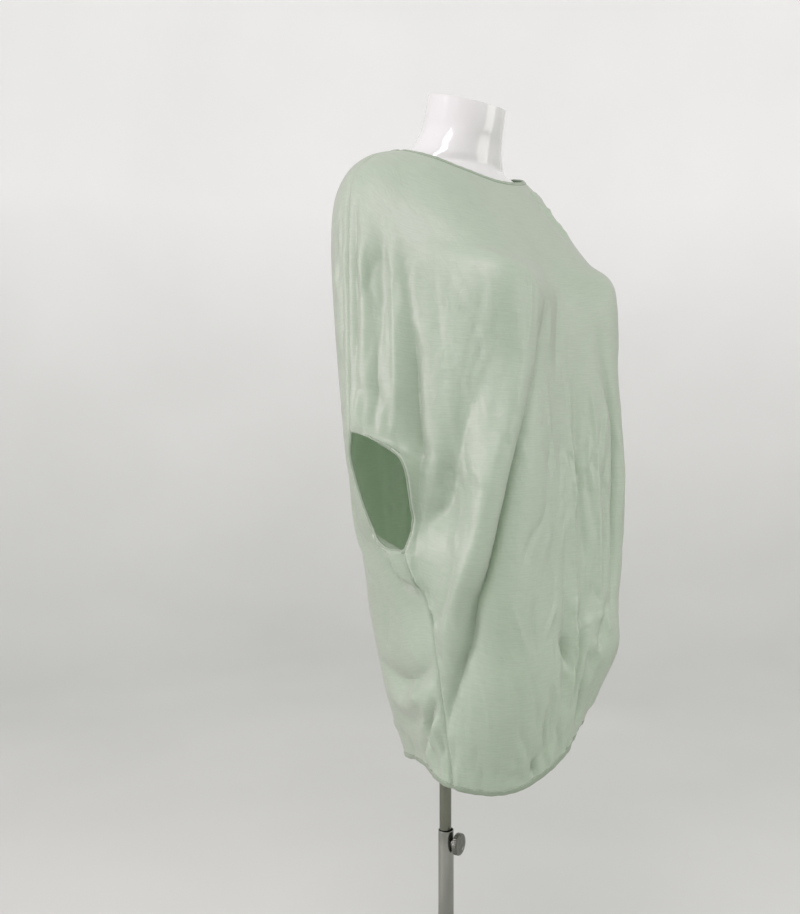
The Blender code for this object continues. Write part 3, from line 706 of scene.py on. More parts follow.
# Gathers that rise from the hem band: (across, top, depth).
FRONT_GATHERS = (
    (-0.74, 11.6, -0.002), (-0.62, 11.5, -0.002), (-0.46, 11.6, -0.0018), (-0.37, 11.7, -0.0015),
    (0.12, 11.2, -0.004), (0.20, 10.9, -0.005), (0.27, 11.2, -0.005), (0.33, 11.1, -0.006),
    (0.41, 11.4, -0.005), (0.48, 11.0, -0.006), (0.56, 11.5, -0.003), (0.64, 11.2, -0.005),
    (0.76, 11.5, -0.004), (0.88, 11.3, -0.004),
)
BACK_GATHERS = (
    (-0.62, 11.5, -0.003), (-0.45, 11.1, -0.005), (-0.31, 11.5, -0.003), (-0.20, 11.3, -0.004),
    (-0.08, 11.1, -0.005), (0.06, 11.5, -0.003), (0.15, 11.2, -0.005), (0.28, 11.4, -0.004),
    (0.41, 11.1, -0.005), (0.55, 11.4, -0.004),
)

CRUMPLES = table(
    Crumple,
    (F, 0.50, 1.2, 0.05, 0.50, 26, 0.6, 0.022, 0.0022),
    (F, -0.55, 7.0, 0.12, 0.90, 34, 0.4, 0.040, 0.0014),
    (F, -0.45, 10.6, 0.20, 0.60, 30, 0.3, 0.040, 0.0012),
    (F, -0.60, 4.9, 0.12, 0.80, 44, 0.30, 0.070, 0.0012),
    (F, -0.50, 5.9, 0.12, 0.80, 30, 0.45, 0.070, 0.0011),
    (F, -0.36, 5.4, 0.10, 0.80, 20, 0.15, 0.090, 0.0012),
    (F, 0.60, 4.9, 0.13, 0.80, 44, -0.3, 0.070, 0.0012),
    (F, 0.08, 7.2, 0.13, 1.40, 40, 0.0, 0.110, 0.0019),
    (F, 0.06, 10.4, 0.15, 0.60, 40, 0.05, 0.050, 0.0032),
    (F, -0.15, 8.6, 0.10, 1.20, 20, 0.15, 0.060, 0.0015),
    (F, -0.90, 5.70, 0.06, 0.16, 26, 0.15, 0.030, 0.0020),
    (F, 0.90, 5.70, 0.06, 0.16, 26, -0.15, 0.030, 0.0020),
    (F, -0.90, 4.4, 0.05, 0.70, 26, 0.0, 0.040, 0.0023),
    (F, 0.90, 4.4, 0.05, 0.70, 26, 0.0, 0.040, 0.0023),
    (F, -0.96, 9.9, 0.03, 0.45, 20, 0.1, 0.024, 0.0027),
    (F, 0.96, 9.9, 0.03, 0.45, 20, 0.1, 0.024, 0.0027),
    (F, 0.0, 11.8, 0.55, 0.10, 60, 0.0, 0.020, 0.0029),
    (B, 0.0, 11.8, 0.50, 0.10, 50, 0.0, 0.020, 0.0029),
    (B, -0.88, 11.5, 0.07, 0.30, 16, -0.2, 0.026, 0.0030),
    (B, 0.88, 11.5, 0.07, 0.30, 16, 0.2, 0.026, 0.0030),
    (B, 0.0, 5.5, 0.45, 1.60, 80, 0.3, 0.045, 0.0019),
    (B, 0.0, 9.0, 0.45, 1.00, 50, -0.3, 0.045, 0.0019),
    (B, -0.90, 4.6, 0.05, 0.80, 20, 0.0, 0.035, 0.0023),
    (B, 0.90, 4.6, 0.05, 0.80, 20, 0.0, 0.035, 0.0023),
)


# ---------------------------------------------------------------- the tunic


@dataclass
class ClothPanel:
    """A panel's finished outer surface: (row, column) grids of places, normals and map."""

    rows: np.ndarray
    points: np.ndarray
    normals: np.ndarray
    flat: np.ndarray


@dataclass
class Tunic:
    """The tunic's body, bindings, hem and sewing."""

    cloth: float = 0.0015
    rest_gap: float = 0.0006
    rest_softness: float = 0.0015
    rest_reach: float = 8.0
    armhole_top: int = 6
    armhole_bottom: int = 9
    hem: int = 12
    top_rows: int = 80
    armhole_rows: int = 37
    skirt_rows: int = 60
    front_columns: int = 258
    back_columns: int = 180
    left_rise: float = 0.042
    gather_rise: float = 0.040
    gather_place: float = 0.30
    gather_spread: float = 0.30
    crooked_from: float = 9.0
    line_step: float = 0.003
    line_least: int = 8
    press_reach: float = 3.0
    hidden_share: float = 0.85
    fade: float = 0.85
    gather_fade: float = 0.7
    gather_fan: float = 1.05
    gather_left: float = 0.006
    gather_right: float = 0.007
    gather_past_hem: float = 0.4
    hidden_drift: float = 0.012
    hidden_slip: float = 0.15
    seed: int = 7
    crumple_widths: tuple[float, float] = (0.0032, 0.0058)
    crumple_lengths: tuple[float, float] = (0.5, 1.6)
    crumple_depths: tuple[float, float] = (0.4, 1.3)
    crumple_turn: float = 0.35
    crumple_bend: float = 0.2
    crumple_troughs: float = 0.65
    crumple_from: float = 0.35
    crumple_side: float = 0.985
    trough_crispness: float = 1.35
    ridge_crispness: float = 1.7
    across_metres: float = 0.39
    section_metres: float = 0.072
    seam_depth: float = 0.0030
    seam_width: float = 0.0024
    knots: tuple[float, ...] = (0.0, 0.42, 0.72, 1.0)
    seam_columns: tuple[float, ...] = (0.972, 0.984, 0.991, 0.9955, 0.9985)

    # ---- the bare surface

    def stations(self, sections: Sequence[Section], numbers: np.ndarray) -> list[np.ndarray]:
        """A panel's middle, crest, side and edge places at each section number.

        The edge turns a corner at the armhole's top and bottom.
        """
        found = [
            even_curve([getattr(row, name) for row in sections], numbers)
            for name in ("middle", "crest", "side", "edge")
        ]
        turns = (0, self.armhole_top, self.armhole_bottom, self.hem)
        for first, last in zip(turns, turns[1:]):
            stretch = [row.edge for row in sections[first : last + 1]]
            within = (numbers >= first) & (numbers <= last)
            found[3][within] = even_curve(stretch, numbers[within] - first)
        return found

    def place(self, panel: Panel, across: np.ndarray, section: np.ndarray) -> np.ndarray:
        """Places on a panel's bare surface, for matching lists of across and section."""
        own, other = (FRONT, BACK) if panel is F else (BACK, FRONT)
        middle, crest, side, edge = self.stations(own, section)
        beyond = self.stations(other, section)[2]
        half = np.stack([middle, crest, side, edge, beyond], axis=1)
        whole = np.concatenate([half[:, :0:-1] * (-1.0, 1.0, 1.0), half], axis=1)
        knots = np.array(self.knots + (2 - self.knots[2],))
        knots = np.concatenate([-knots[:0:-1], knots])
        found = taut_curves(knots, whole, across)
        rise = self.left_rise * smoothstep(0.0, 1.0, across)
        if panel is F:
            bell = np.exp(-(((across - self.gather_place) / self.gather_spread) ** 2))
            rise = rise + self.gather_rise * bell
        found[:, 2] += smoothstep(self.crooked_from, self.hem, section) * rise
        return found * (1, -1, 1)

    def grid_rows(self) -> np.ndarray:
        """Section numbers of the grid's rows."""
        top, bottom = self.armhole_top, self.armhole_bottom
        return np.concatenate(
            [
                np.linspace(0, top, self.top_rows, endpoint=False),
                np.linspace(top, bottom, self.armhole_rows, endpoint=False),
                np.linspace(bottom, self.hem, self.skirt_rows + 1),
            ]
        )

    def grid_columns(self, count: int) -> np.ndarray:
        """Across numbers of the grid's columns, closer together beside the seams."""
        fine = np.array(self.seam_columns)
        inner = np.linspace(-fine[0], fine[0], count + 1)
        return np.concatenate([[-1.0], -fine[:0:-1], inner, fine[1:], [1.0]])

    @staticmethod
    def normals_of(points: np.ndarray, panel: Panel) -> np.ndarray:
        """Outward normals of a panel's grid."""
        down = np.gradient(points, axis=0)
        along = np.gradient(points, axis=1)
        found = unit(np.cross(along, down))
        return -found if panel is F else found

    # ---- folds and creases

    def gathers(self) -> list[Crease]:
        """The gathers at the hem as creases that fan out upwards."""
        fan = self.gather_fan
        found = []
        for panel, rows in ((F, FRONT_GATHERS), (B, BACK_GATHERS)):
            for across, top, depth in rows:
                halfway = (across * (1 + fan) / 2, (top + self.hem) / 2)
                path = ((across * fan, top), halfway, (across, self.hem + self.gather_past_hem))
                found.append(Crease(panel, self.gather_left, self.gather_right, depth, path))
        return found

    def other_side(self, crease: Crease, number: int) -> Crease:
        """A crease's counterpart on the left side, a little different from it."""
        drift = self.hidden_drift * math.sin(2.3 * number)
        slip = self.hidden_slip * math.sin(1.7 * number + 0.6)
        path = []
        for across, section in crease.path:
            inside = 1 - abs(across)
            path.append((-across + drift * abs(across) * inside * 4, section + slip * inside))
        depth = crease.depth * self.hidden_share
        return crease._replace(left=crease.right, right=crease.left, depth=depth, path=tuple(path))

    def crumpled(self, rng: np.random.Generator) -> list[Crease]:
        """The small creases of every crumpled patch."""
        found = []
        for patch in CRUMPLES:
            for _ in range(patch.count):
                across = patch.across + patch.wide * rng.normal()
                section = patch.section + patch.tall * rng.normal()
                slant = patch.slant + self.crumple_turn * rng.normal()
                length = patch.length * rng.uniform(*self.crumple_lengths)
                bend = self.crumple_bend * rng.normal()
                depth = patch.depth * rng.uniform(*self.crumple_depths)
                depth *= -1 if rng.random() < self.crumple_troughs else 1
                width = rng.uniform(*self.crumple_widths)
                path = []
                for part in (-0.5, 0.0, 0.5):
                    side = math.sin(slant) * part * length + bend * length * (0.25 - part * part)
                    fall = math.cos(slant) * part * length
                    path.append((across + side / self.across_metres, section + fall / self.section_metres))
                low, high = min(place[1] for place in path), max(place[1] for place in path)
                side = max(abs(place[0]) for place in path)
                if low > self.crumple_from and high < self.hem and side < self.crumple_side:
                    found.append(Crease(patch.panel, width, width, depth, tuple(path)))
        return found

    def press(self, crease: Crease, points: np.ndarray, normals: np.ndarray) -> np.ndarray:
        """How far each point moves along its normal for one crease.

        Args:
            crease: the trough or ridge.
            points: bare places, as (point, 3).
            normals: their outward normals.

        Returns:
            The moves in metres, one for each point.
        """
        ends = np.array([self.place(crease.panel, *map(np.array, ([a], [s])))[0] for a, s in crease.path])
        length = np.linalg.norm(np.diff(ends, axis=0), axis=1).sum()
        count = max(self.line_least, int(length / self.line_step))
        along = even_curve(crease.path, np.linspace(0, len(crease.path) - 1, count))
        line = self.place(crease.panel, along[:, 0], np.clip(along[:, 1], 0, self.hem))
        ways = unit(np.gradient(line, axis=0))
        strength = np.sin((np.arange(count) + 0.5) / count * math.pi) ** self.fade
        if crease.path[-1][1] > self.hem:
            strength = np.linspace(0, 1, count) ** self.gather_fade
        moved = np.zeros(len(points))
        reach = self.press_reach * max(crease.left, crease.right)
        near = np.all((points > line.min(axis=0) - reach) & (points < line.max(axis=0) + reach), axis=1)
        if not near.any():
            return moved
        close = points[near]
        gaps = np.linalg.norm(close[:, None] - line[None], axis=2)
        nearest = gaps.argmin(axis=1)
        offset = close - line[nearest]
        gap = gaps[np.arange(len(close)), nearest]
        right = np.sum(np.cross(normals[near], ways[nearest]) * offset, axis=1) > 0
        width = np.where(right, crease.right, crease.left)
        crispness = self.trough_crispness if crease.depth < 0 else self.ridge_crispness
        moved[near] = crease.depth * strength[nearest] * np.exp(-((gap / width) ** crispness))
        return moved

    def rested(self, points: np.ndarray, tree: BVHTree) -> np.ndarray:
        """Lifts places clear of the form, gradually, so that the cloth lies on it."""
        lifted = points.copy()
        need = self.cloth + self.rest_gap
        soft = self.rest_softness
        for n, point in enumerate(points):
            place = Vector(point)
            near, normal, _, _ = tree.find_nearest(place)
            depth = need - (place - near).dot(normal)
            if depth > -self.rest_reach * soft:
                lifted[n] += soft * np.logaddexp(0.0, depth / soft) * np.array(normal)
        return lifted

    def draped(self, tree: BVHTree) -> dict[Panel, ClothPanel]:
        """Both panels' finished outer surfaces."""
        rows = self.grid_rows()
        small = self.crumpled(np.random.default_rng(self.seed))
        every = [*FOLDS, *SINGLE, *self.gathers(), *small]
        for number, crease in enumerate(PAIRED):
            every += [crease, self.other_side(crease, number)]
        bare, normals = {}, {}
        for panel, count in ((F, self.front_columns), (B, self.back_columns)):
            columns = self.grid_columns(count)
            across, section = np.meshgrid(columns, rows)
            grid = self.place(panel, across.ravel(), section.ravel())
            bare[panel] = grid.reshape(*across.shape, 3)
            normals[panel] = self.normals_of(bare[panel], panel)
        self.match_seams(normals, rows)
        done = {}
        for panel, grid in bare.items():
            flat_points, flat_normals = grid.reshape(-1, 3), normals[panel].reshape(-1, 3)
            moved = np.zeros(len(flat_points))
            for crease in every:
                moved += self.press(crease, flat_points, flat_normals)
            moved -= self.seam_groove(grid).ravel()
            points = self.rested(flat_points + moved[:, None] * flat_normals, tree).reshape(grid.shape)
            done[panel] = points
        self.close_seams(done, rows)
        normals = {panel: self.normals_of(points, panel) for panel, points in done.items()}
        self.match_seams(normals, rows)
        return {
            panel: ClothPanel(rows, points, normals[panel], self.laid_flat(points))
            for panel, points in done.items()
        }

    def seam_groove(self, grid: np.ndarray) -> np.ndarray:
        """How deep the cloth dips beside the sewn edges."""
        found = np.zeros(grid.shape[:2])
        for edge in (0, -1):
            gap = np.linalg.norm(grid - grid[:, edge][:, None], axis=2)
            found += self.seam_depth * np.exp(-((gap / self.seam_width) ** 2))
        return found

    def sewn(self, rows: np.ndarray) -> np.ndarray:
        """Which rows are sewn at their edges, not open at the armhole."""
        return (rows <= self.armhole_top + TINY) | (rows >= self.armhole_bottom - TINY)

    def match_seams(self, normals: dict[Panel, np.ndarray], rows: np.ndarray) -> None:
        """Gives both panels one normal along the seams they share."""
        sewn = self.sewn(rows)
        for edge in (0, -1):
            shared = unit(normals[F][:, edge] + normals[B][:, edge])
            for panel in Panel:
                normals[panel][sewn, edge] = shared[sewn]

    def close_seams(self, points: dict[Panel, np.ndarray], rows: np.ndarray) -> None:
        """Brings both panels' sewn edges to the same places."""
        sewn = self.sewn(rows)
        for edge in (0, -1):
            shared = (points[F][:, edge] + points[B][:, edge]) / 2
            for panel in Panel:
                points[panel][sewn, edge] = shared[sewn]

    @staticmethod
    def laid_flat(points: np.ndarray) -> np.ndarray:
        """The cloth map: metres across from the middle and metres down from the neck."""
        across = np.cumsum(np.linalg.norm(np.diff(points, axis=1), axis=2), axis=1)
        across = np.concatenate([np.zeros((len(points), 1)), across], axis=1)
        across -= across[:, across.shape[1] // 2][:, None]
        down = np.linalg.norm(np.diff(points, axis=0), axis=2).mean(axis=1)
        down = np.concatenate([[0.0], np.cumsum(down)])
        return np.stack([across, np.broadcast_to(-down[:, None], across.shape)], axis=2)

    # ---- pieces

    def build_panel(self, name: str, drape: ClothPanel, look: bpy.types.Material) -> bpy.types.Object:
        """A panel as a shell with the cloth's own thickness inwards."""
        made = shaped_grid(name, drape.points, drape.normals, drape.flat)
        made.data.materials.append(look)
        wall = made.modifiers.new("cloth_wall", "SOLIDIFY")
        wall.thickness = self.cloth
        wall.offset = -1.0
        return made

    def edge_loop(self, drapes: dict[Panel, ClothPanel], row: int) -> tuple[np.ndarray, np.ndarray]:
        """The closed loop round both panels along one row: places and normals."""
        front, back = drapes[F], drapes[B]
        places = [front.points[row, :-1], back.points[row, :0:-1]]
        normals = [front.normals[row, :-1], back.normals[row, :0:-1]]
        return np.concatenate(places), np.concatenate(normals)

    def end_edge(
        self, drapes: dict[Panel, ClothPanel], row: int, inner_row: int
    ) -> tuple[np.ndarray, np.ndarray, np.ndarray]:
        """The neck's or hem's edge: places, normals and the ways out from an inner row."""
        loop, normals = self.edge_loop(drapes, row)
        inside, _ = self.edge_loop(drapes, inner_row)
        return loop, normals, loop - inside

    def armhole_edge(
        self, drapes: dict[Panel, ClothPanel], side: Side
    ) -> tuple[np.ndarray, np.ndarray, np.ndarray]:
        """The edge down the front panel and up the back: places, normals and ways in."""
        edge = 0 if side is Side.RIGHT else -1
        rows = drapes[F].rows
        span = np.flatnonzero((rows >= self.armhole_top - TINY) & (rows <= self.armhole_bottom + TINY))
        down, up = span[:-1], span[:0:-1]
        loop = np.concatenate([drapes[F].points[down, edge], drapes[B].points[up, edge]])
        normals = np.concatenate([drapes[F].normals[down, edge], drapes[B].normals[up, edge]])
        inwards = loop.mean(axis=0) - loop
        inwards -= normals * np.sum(inwards * normals, axis=1)[:, None]
        return loop, normals, inwards


@dataclass
class Binding:
    """A folded strip of cloth sewn over an edge, and the row of stitches that holds it."""

    name: str
    width: float
    thickness: float
    beyond: float = 0.0014
    steps: int = 420
    sides: int = 18
    boxiness: float = 0.62
    swell: float = 0.16
    ripple_gain: float = 1.6
    pucker: float = 0.00028
    puckers: int = 90
    stitch_length: float = 0.0024
    stitch_pitch: float = 0.0032
    stitch_inset: float = 0.0011
    stitch_half_width: float = 0.00022
    stitch_half_height: float = 0.00020
    stitch_lift: float = 0.93
    smoothing: int = 3
    turning: int = 12

    def frames(
        self, loop: np.ndarray, normals: np.ndarray, towards: np.ndarray
    ) -> tuple[np.ndarray, np.ndarray, np.ndarray]:
        """Even places round the loop, the strip's normals there and the ways to the open edge."""
        closed = np.concatenate([loop, loop[:1]])
        length = np.concatenate([[0.0], np.cumsum(np.linalg.norm(np.diff(closed, axis=0), axis=1))])
        even = np.linspace(0, length[-1], self.steps, endpoint=False)

        def spread(values: np.ndarray, passes: int) -> np.ndarray:
            """The values at even steps round the loop, smoothed that many times."""
            ring = np.concatenate([values, values[:1]])
            found = np.stack([np.interp(even, length, ring[:, k]) for k in range(3)], axis=1)
            for _ in range(passes):
                found = (np.roll(found, 1, axis=0) + 2 * found + np.roll(found, -1, axis=0)) / 4
            return found

        places, aim = spread(loop, self.smoothing), spread(towards, self.turning)
        out = unit(spread(normals, self.turning))
        tangent = unit(np.roll(places, -1, axis=0) - np.roll(places, 1, axis=0))
        grow = unit(aim - tangent * np.sum(aim * tangent, axis=1)[:, None])
        proud = unit(np.cross(grow, tangent))
        proud *= np.sign(np.sum(proud * out, axis=1))[:, None]
        return places, proud, grow

    def build(
        self, loop: np.ndarray, normals: np.ndarray, towards: np.ndarray, look: bpy.types.Material,
        thread: bpy.types.Material, cloth: float,
    ) -> tuple[bpy.types.Object, bpy.types.Object]:
        """Makes the strip and its stitches.

        Args:
            loop: the edge that the strip covers.
            normals: the cloth's outward normals there.
            towards: roughly where the strip grows from the edge.
            look: the strip's material.
            thread: the stitches' material.
            cloth: the thickness of the cloth.

        Returns:
            The strip and the stitches.
        """
        places, out, grow = self.frames(loop, normals, towards)
        turn = np.linspace(0, 2 * math.pi, self.sides + 1)
        reach = np.sign(np.cos(turn)) * np.abs(np.cos(turn)) ** self.boxiness
        proud = np.sign(np.sin(turn)) * np.abs(np.sin(turn)) ** self.boxiness
        ripple = np.array([self.ripple(n / self.steps) for n in range(self.steps)])
        half_width = self.width / 2
        middle = self.beyond - half_width
        points = np.empty((self.steps + 1, self.sides + 1, 3))
        for n in range(self.steps + 1):
            i = n % self.steps
            swell = 1.0 + self.swell * ripple[i]
            rise = self.thickness / 2 * swell * proud - cloth / 2
            along = middle + half_width * reach + self.pucker * ripple[i] * (reach > 0)
            points[n] = places[i] + along[:, None] * grow[i] + rise[:, None] * out[i]
        length = np.linalg.norm(np.diff(np.concatenate([places, places[:1]]), axis=0), axis=1).sum()
        around = np.linspace(0, length, self.steps + 1)
        girth = np.linspace(0, 2 * (self.width + self.thickness), self.sides + 1)
        flat = np.stack(np.meshgrid(around, girth, indexing="ij"), axis=2)
        strip = shaped_grid(self.name, points, flat=flat, closed=True)
        strip.data.materials.append(look)
        return strip, self.stitches(places, out, grow, length, thread, cloth)

    def ripple(self, part: float) -> float:
        """An uneven wave round the loop, from about -1 to 1, that closes on itself."""
        angle = 2 * math.pi * part
        ring = Vector((math.cos(angle), math.sin(angle), 0.0)) * (self.puckers / (2 * math.pi))
        return self.ripple_gain * noise.noise(ring + Vector((3.1, 7.7, len(self.name))))

    def stitches(
        self, places: np.ndarray, out: np.ndarray, grow: np.ndarray, length: float,
        look: bpy.types.Material, cloth: float,
    ) -> bpy.types.Object:
        """The thread on the strip's outer face, one small bead for each stitch."""
        bm = bmesh.new()
        count = int(length / self.stitch_pitch)
        bead = Matrix.Diagonal((self.stitch_length / 2, self.stitch_half_width, self.stitch_half_height, 1.0))
        row = self.beyond - self.width + self.stitch_inset
        for n in range(count):
            i = int((n + 0.5) / count * len(places)) % len(places)
            following = places[(i + 1) % len(places)] - places[i - 1]
            along = Vector(following).normalized()
            up = Vector(out[i])
            side = up.cross(along).normalized()
            height = self.thickness / 2 * self.stitch_lift - cloth / 2
            spot = Vector(places[i] + grow[i] * row + out[i] * height)
            basis = Matrix((along, side, up)).transposed().to_4x4()
            bmesh.ops.create_uvsphere(
                bm, u_segments=6, v_segments=4, radius=1.0,
                matrix=Matrix.Translation(spot) @ basis @ bead @ Matrix.Rotation(math.pi / 2, 4, "Y"),
            )
        made = from_bmesh(self.name + "_stitches", bm, 80.0)
        made.data.materials.append(look)
        return made


# ---------------------------------------------------------------- the form


class Girth(NamedTuple):
    """A level section of the form. front and back are forward places."""

    up: float
    half_width: float
    front: float
    back: float
    squareness: float


TORSO = table(
    Girth,
    (1.066, 0.107, 0.119, -0.023, 2.2),
    (1.070, 0.116, 0.129, -0.033, 2.2),
    (1.085, 0.121, 0.134, -0.038, 2.2),
    (1.130, 0.126, 0.140, -0.044, 2.2),
    (1.175, 0.138, 0.149, -0.052, 2.2),
    (1.215, 0.149, 0.158, -0.059, 2.2),
    (1.255, 0.160, 0.163, -0.065, 2.3),
    (1.295, 0.173, 0.153, -0.070, 2.3),
    (1.330, 0.185, 0.135, -0.071, 2.3),
    (1.355, 0.192, 0.118, -0.069, 2.2),
    (1.377, 0.193, 0.104, -0.065, 2.1),
    (1.393, 0.188, 0.096, -0.061, 2.0),
    (1.407, 0.177, 0.090, -0.057, 2.0),
    (1.418, 0.161, 0.085, -0.052, 1.75),
    (1.428, 0.134, 0.081, -0.052, 1.5),
    (1.436, 0.102, 0.079, -0.051, 1.45),
    (1.448, 0.0800, 0.080, -0.048, 1.8),
    (1.464, 0.0665, 0.0825, -0.042, 2.0),
    (1.485, 0.0575, 0.0880, -0.028, 2.0),
    (1.510, 0.0550, 0.0920, -0.018, 2.0),
    (1.528, 0.0545, 0.0945, -0.0145, 2.0),
)


@dataclass
class DressForm:
    """The limbless bust form with its slanted neck cut."""

    sides: int = 128
    rows_between: int = 6
    samples: int = 1441
    neck_cut_tilt: float = 0.30
    neck_cut_from: float = 1.464
    rim: float = 0.0022
    rim_rise: float = 0.0002
    rim_steps: int = 5
    top_shares: tuple[float, ...] = (0.75, 0.45, 0.0)
    bottom_shares: tuple[float, ...] = (0.0, 0.5, 0.9)
    bust_out: float = 0.090
    bust_up: float = 1.258
    bust_proud: float = 0.038
    bust_spread: float = 0.050

    def ring(self, girth: Girth, inset: float = 0.0, lift: float = 0.0) -> np.ndarray:
        """One level section in even steps, with the bust's two mounds.

        Args:
            girth: the section's sizes.
            inset: how far the section is drawn in from its own outline.
            lift: how far it is raised.

        Returns:
            The places, as (side + 1, 3); the last is the first again.
        """
        turn = np.linspace(0.0, 2 * math.pi, self.samples)
        power = 2.0 / girth.squareness
        half_width = girth.half_width - inset
        centre, half_depth = (girth.front + girth.back) / 2, (girth.front - girth.back) / 2 - inset
        across = half_width * np.sign(np.cos(turn)) * np.abs(np.cos(turn)) ** power
        forward = centre + half_depth * np.sign(np.sin(turn)) * np.abs(np.sin(turn)) ** power
        for side in Side:
            gap = (across - side.value * self.bust_out) ** 2 + (girth.up - self.bust_up) ** 2
            mound = self.bust_proud * np.exp(-gap / self.bust_spread**2)
            forward = forward + np.where(forward > centre, mound, 0.0)
        length = np.concatenate([[0.0], np.cumsum(np.hypot(np.diff(across), np.diff(forward)))])
        even = np.linspace(0.0, length[-1], self.sides + 1)
        across, forward = np.interp(even, length, across), np.interp(even, length, forward)
        cut = self.neck_cut_tilt * smoothstep(self.neck_cut_from, TORSO[-1].up, np.array(girth.up))
        up = girth.up + lift - cut * (forward - centre)
        return np.stack([across, -forward, up], axis=1)

    def build(self, look: bpy.types.Material) -> tuple[bpy.types.Object, BVHTree]:
        """Makes the form and a tree for finding its surface."""
        at = np.linspace(0, len(TORSO) - 1, (len(TORSO) - 1) * self.rows_between + 1)
        rings = [self.ring(Girth(*sizes)) for sizes in even_curve(TORSO, at)]
        for part in np.linspace(0, math.pi / 2, self.rim_steps)[1:]:
            inset = self.rim * (1 - math.cos(part))
            rings.append(self.ring(TORSO[-1], inset, self.rim_rise * math.sin(part)))
        for share in self.top_shares:
            middle = rings[-1].mean(axis=0)
            rings.append(middle + (rings[-1] - middle) * share)
        bottom = rings[0].mean(axis=0)
        rings = [bottom + (rings[0] - bottom) * share for share in self.bottom_shares] + rings
        made = shaped_grid("gloss_form", np.array(rings), closed=True)
        made.data.materials.append(look)
        bm = bmesh.new()
        bm.from_mesh(made.data)
        tree = BVHTree.FromBMesh(bm)
        bm.free()
        return made, tree


# ---------------------------------------------------------------- the stand


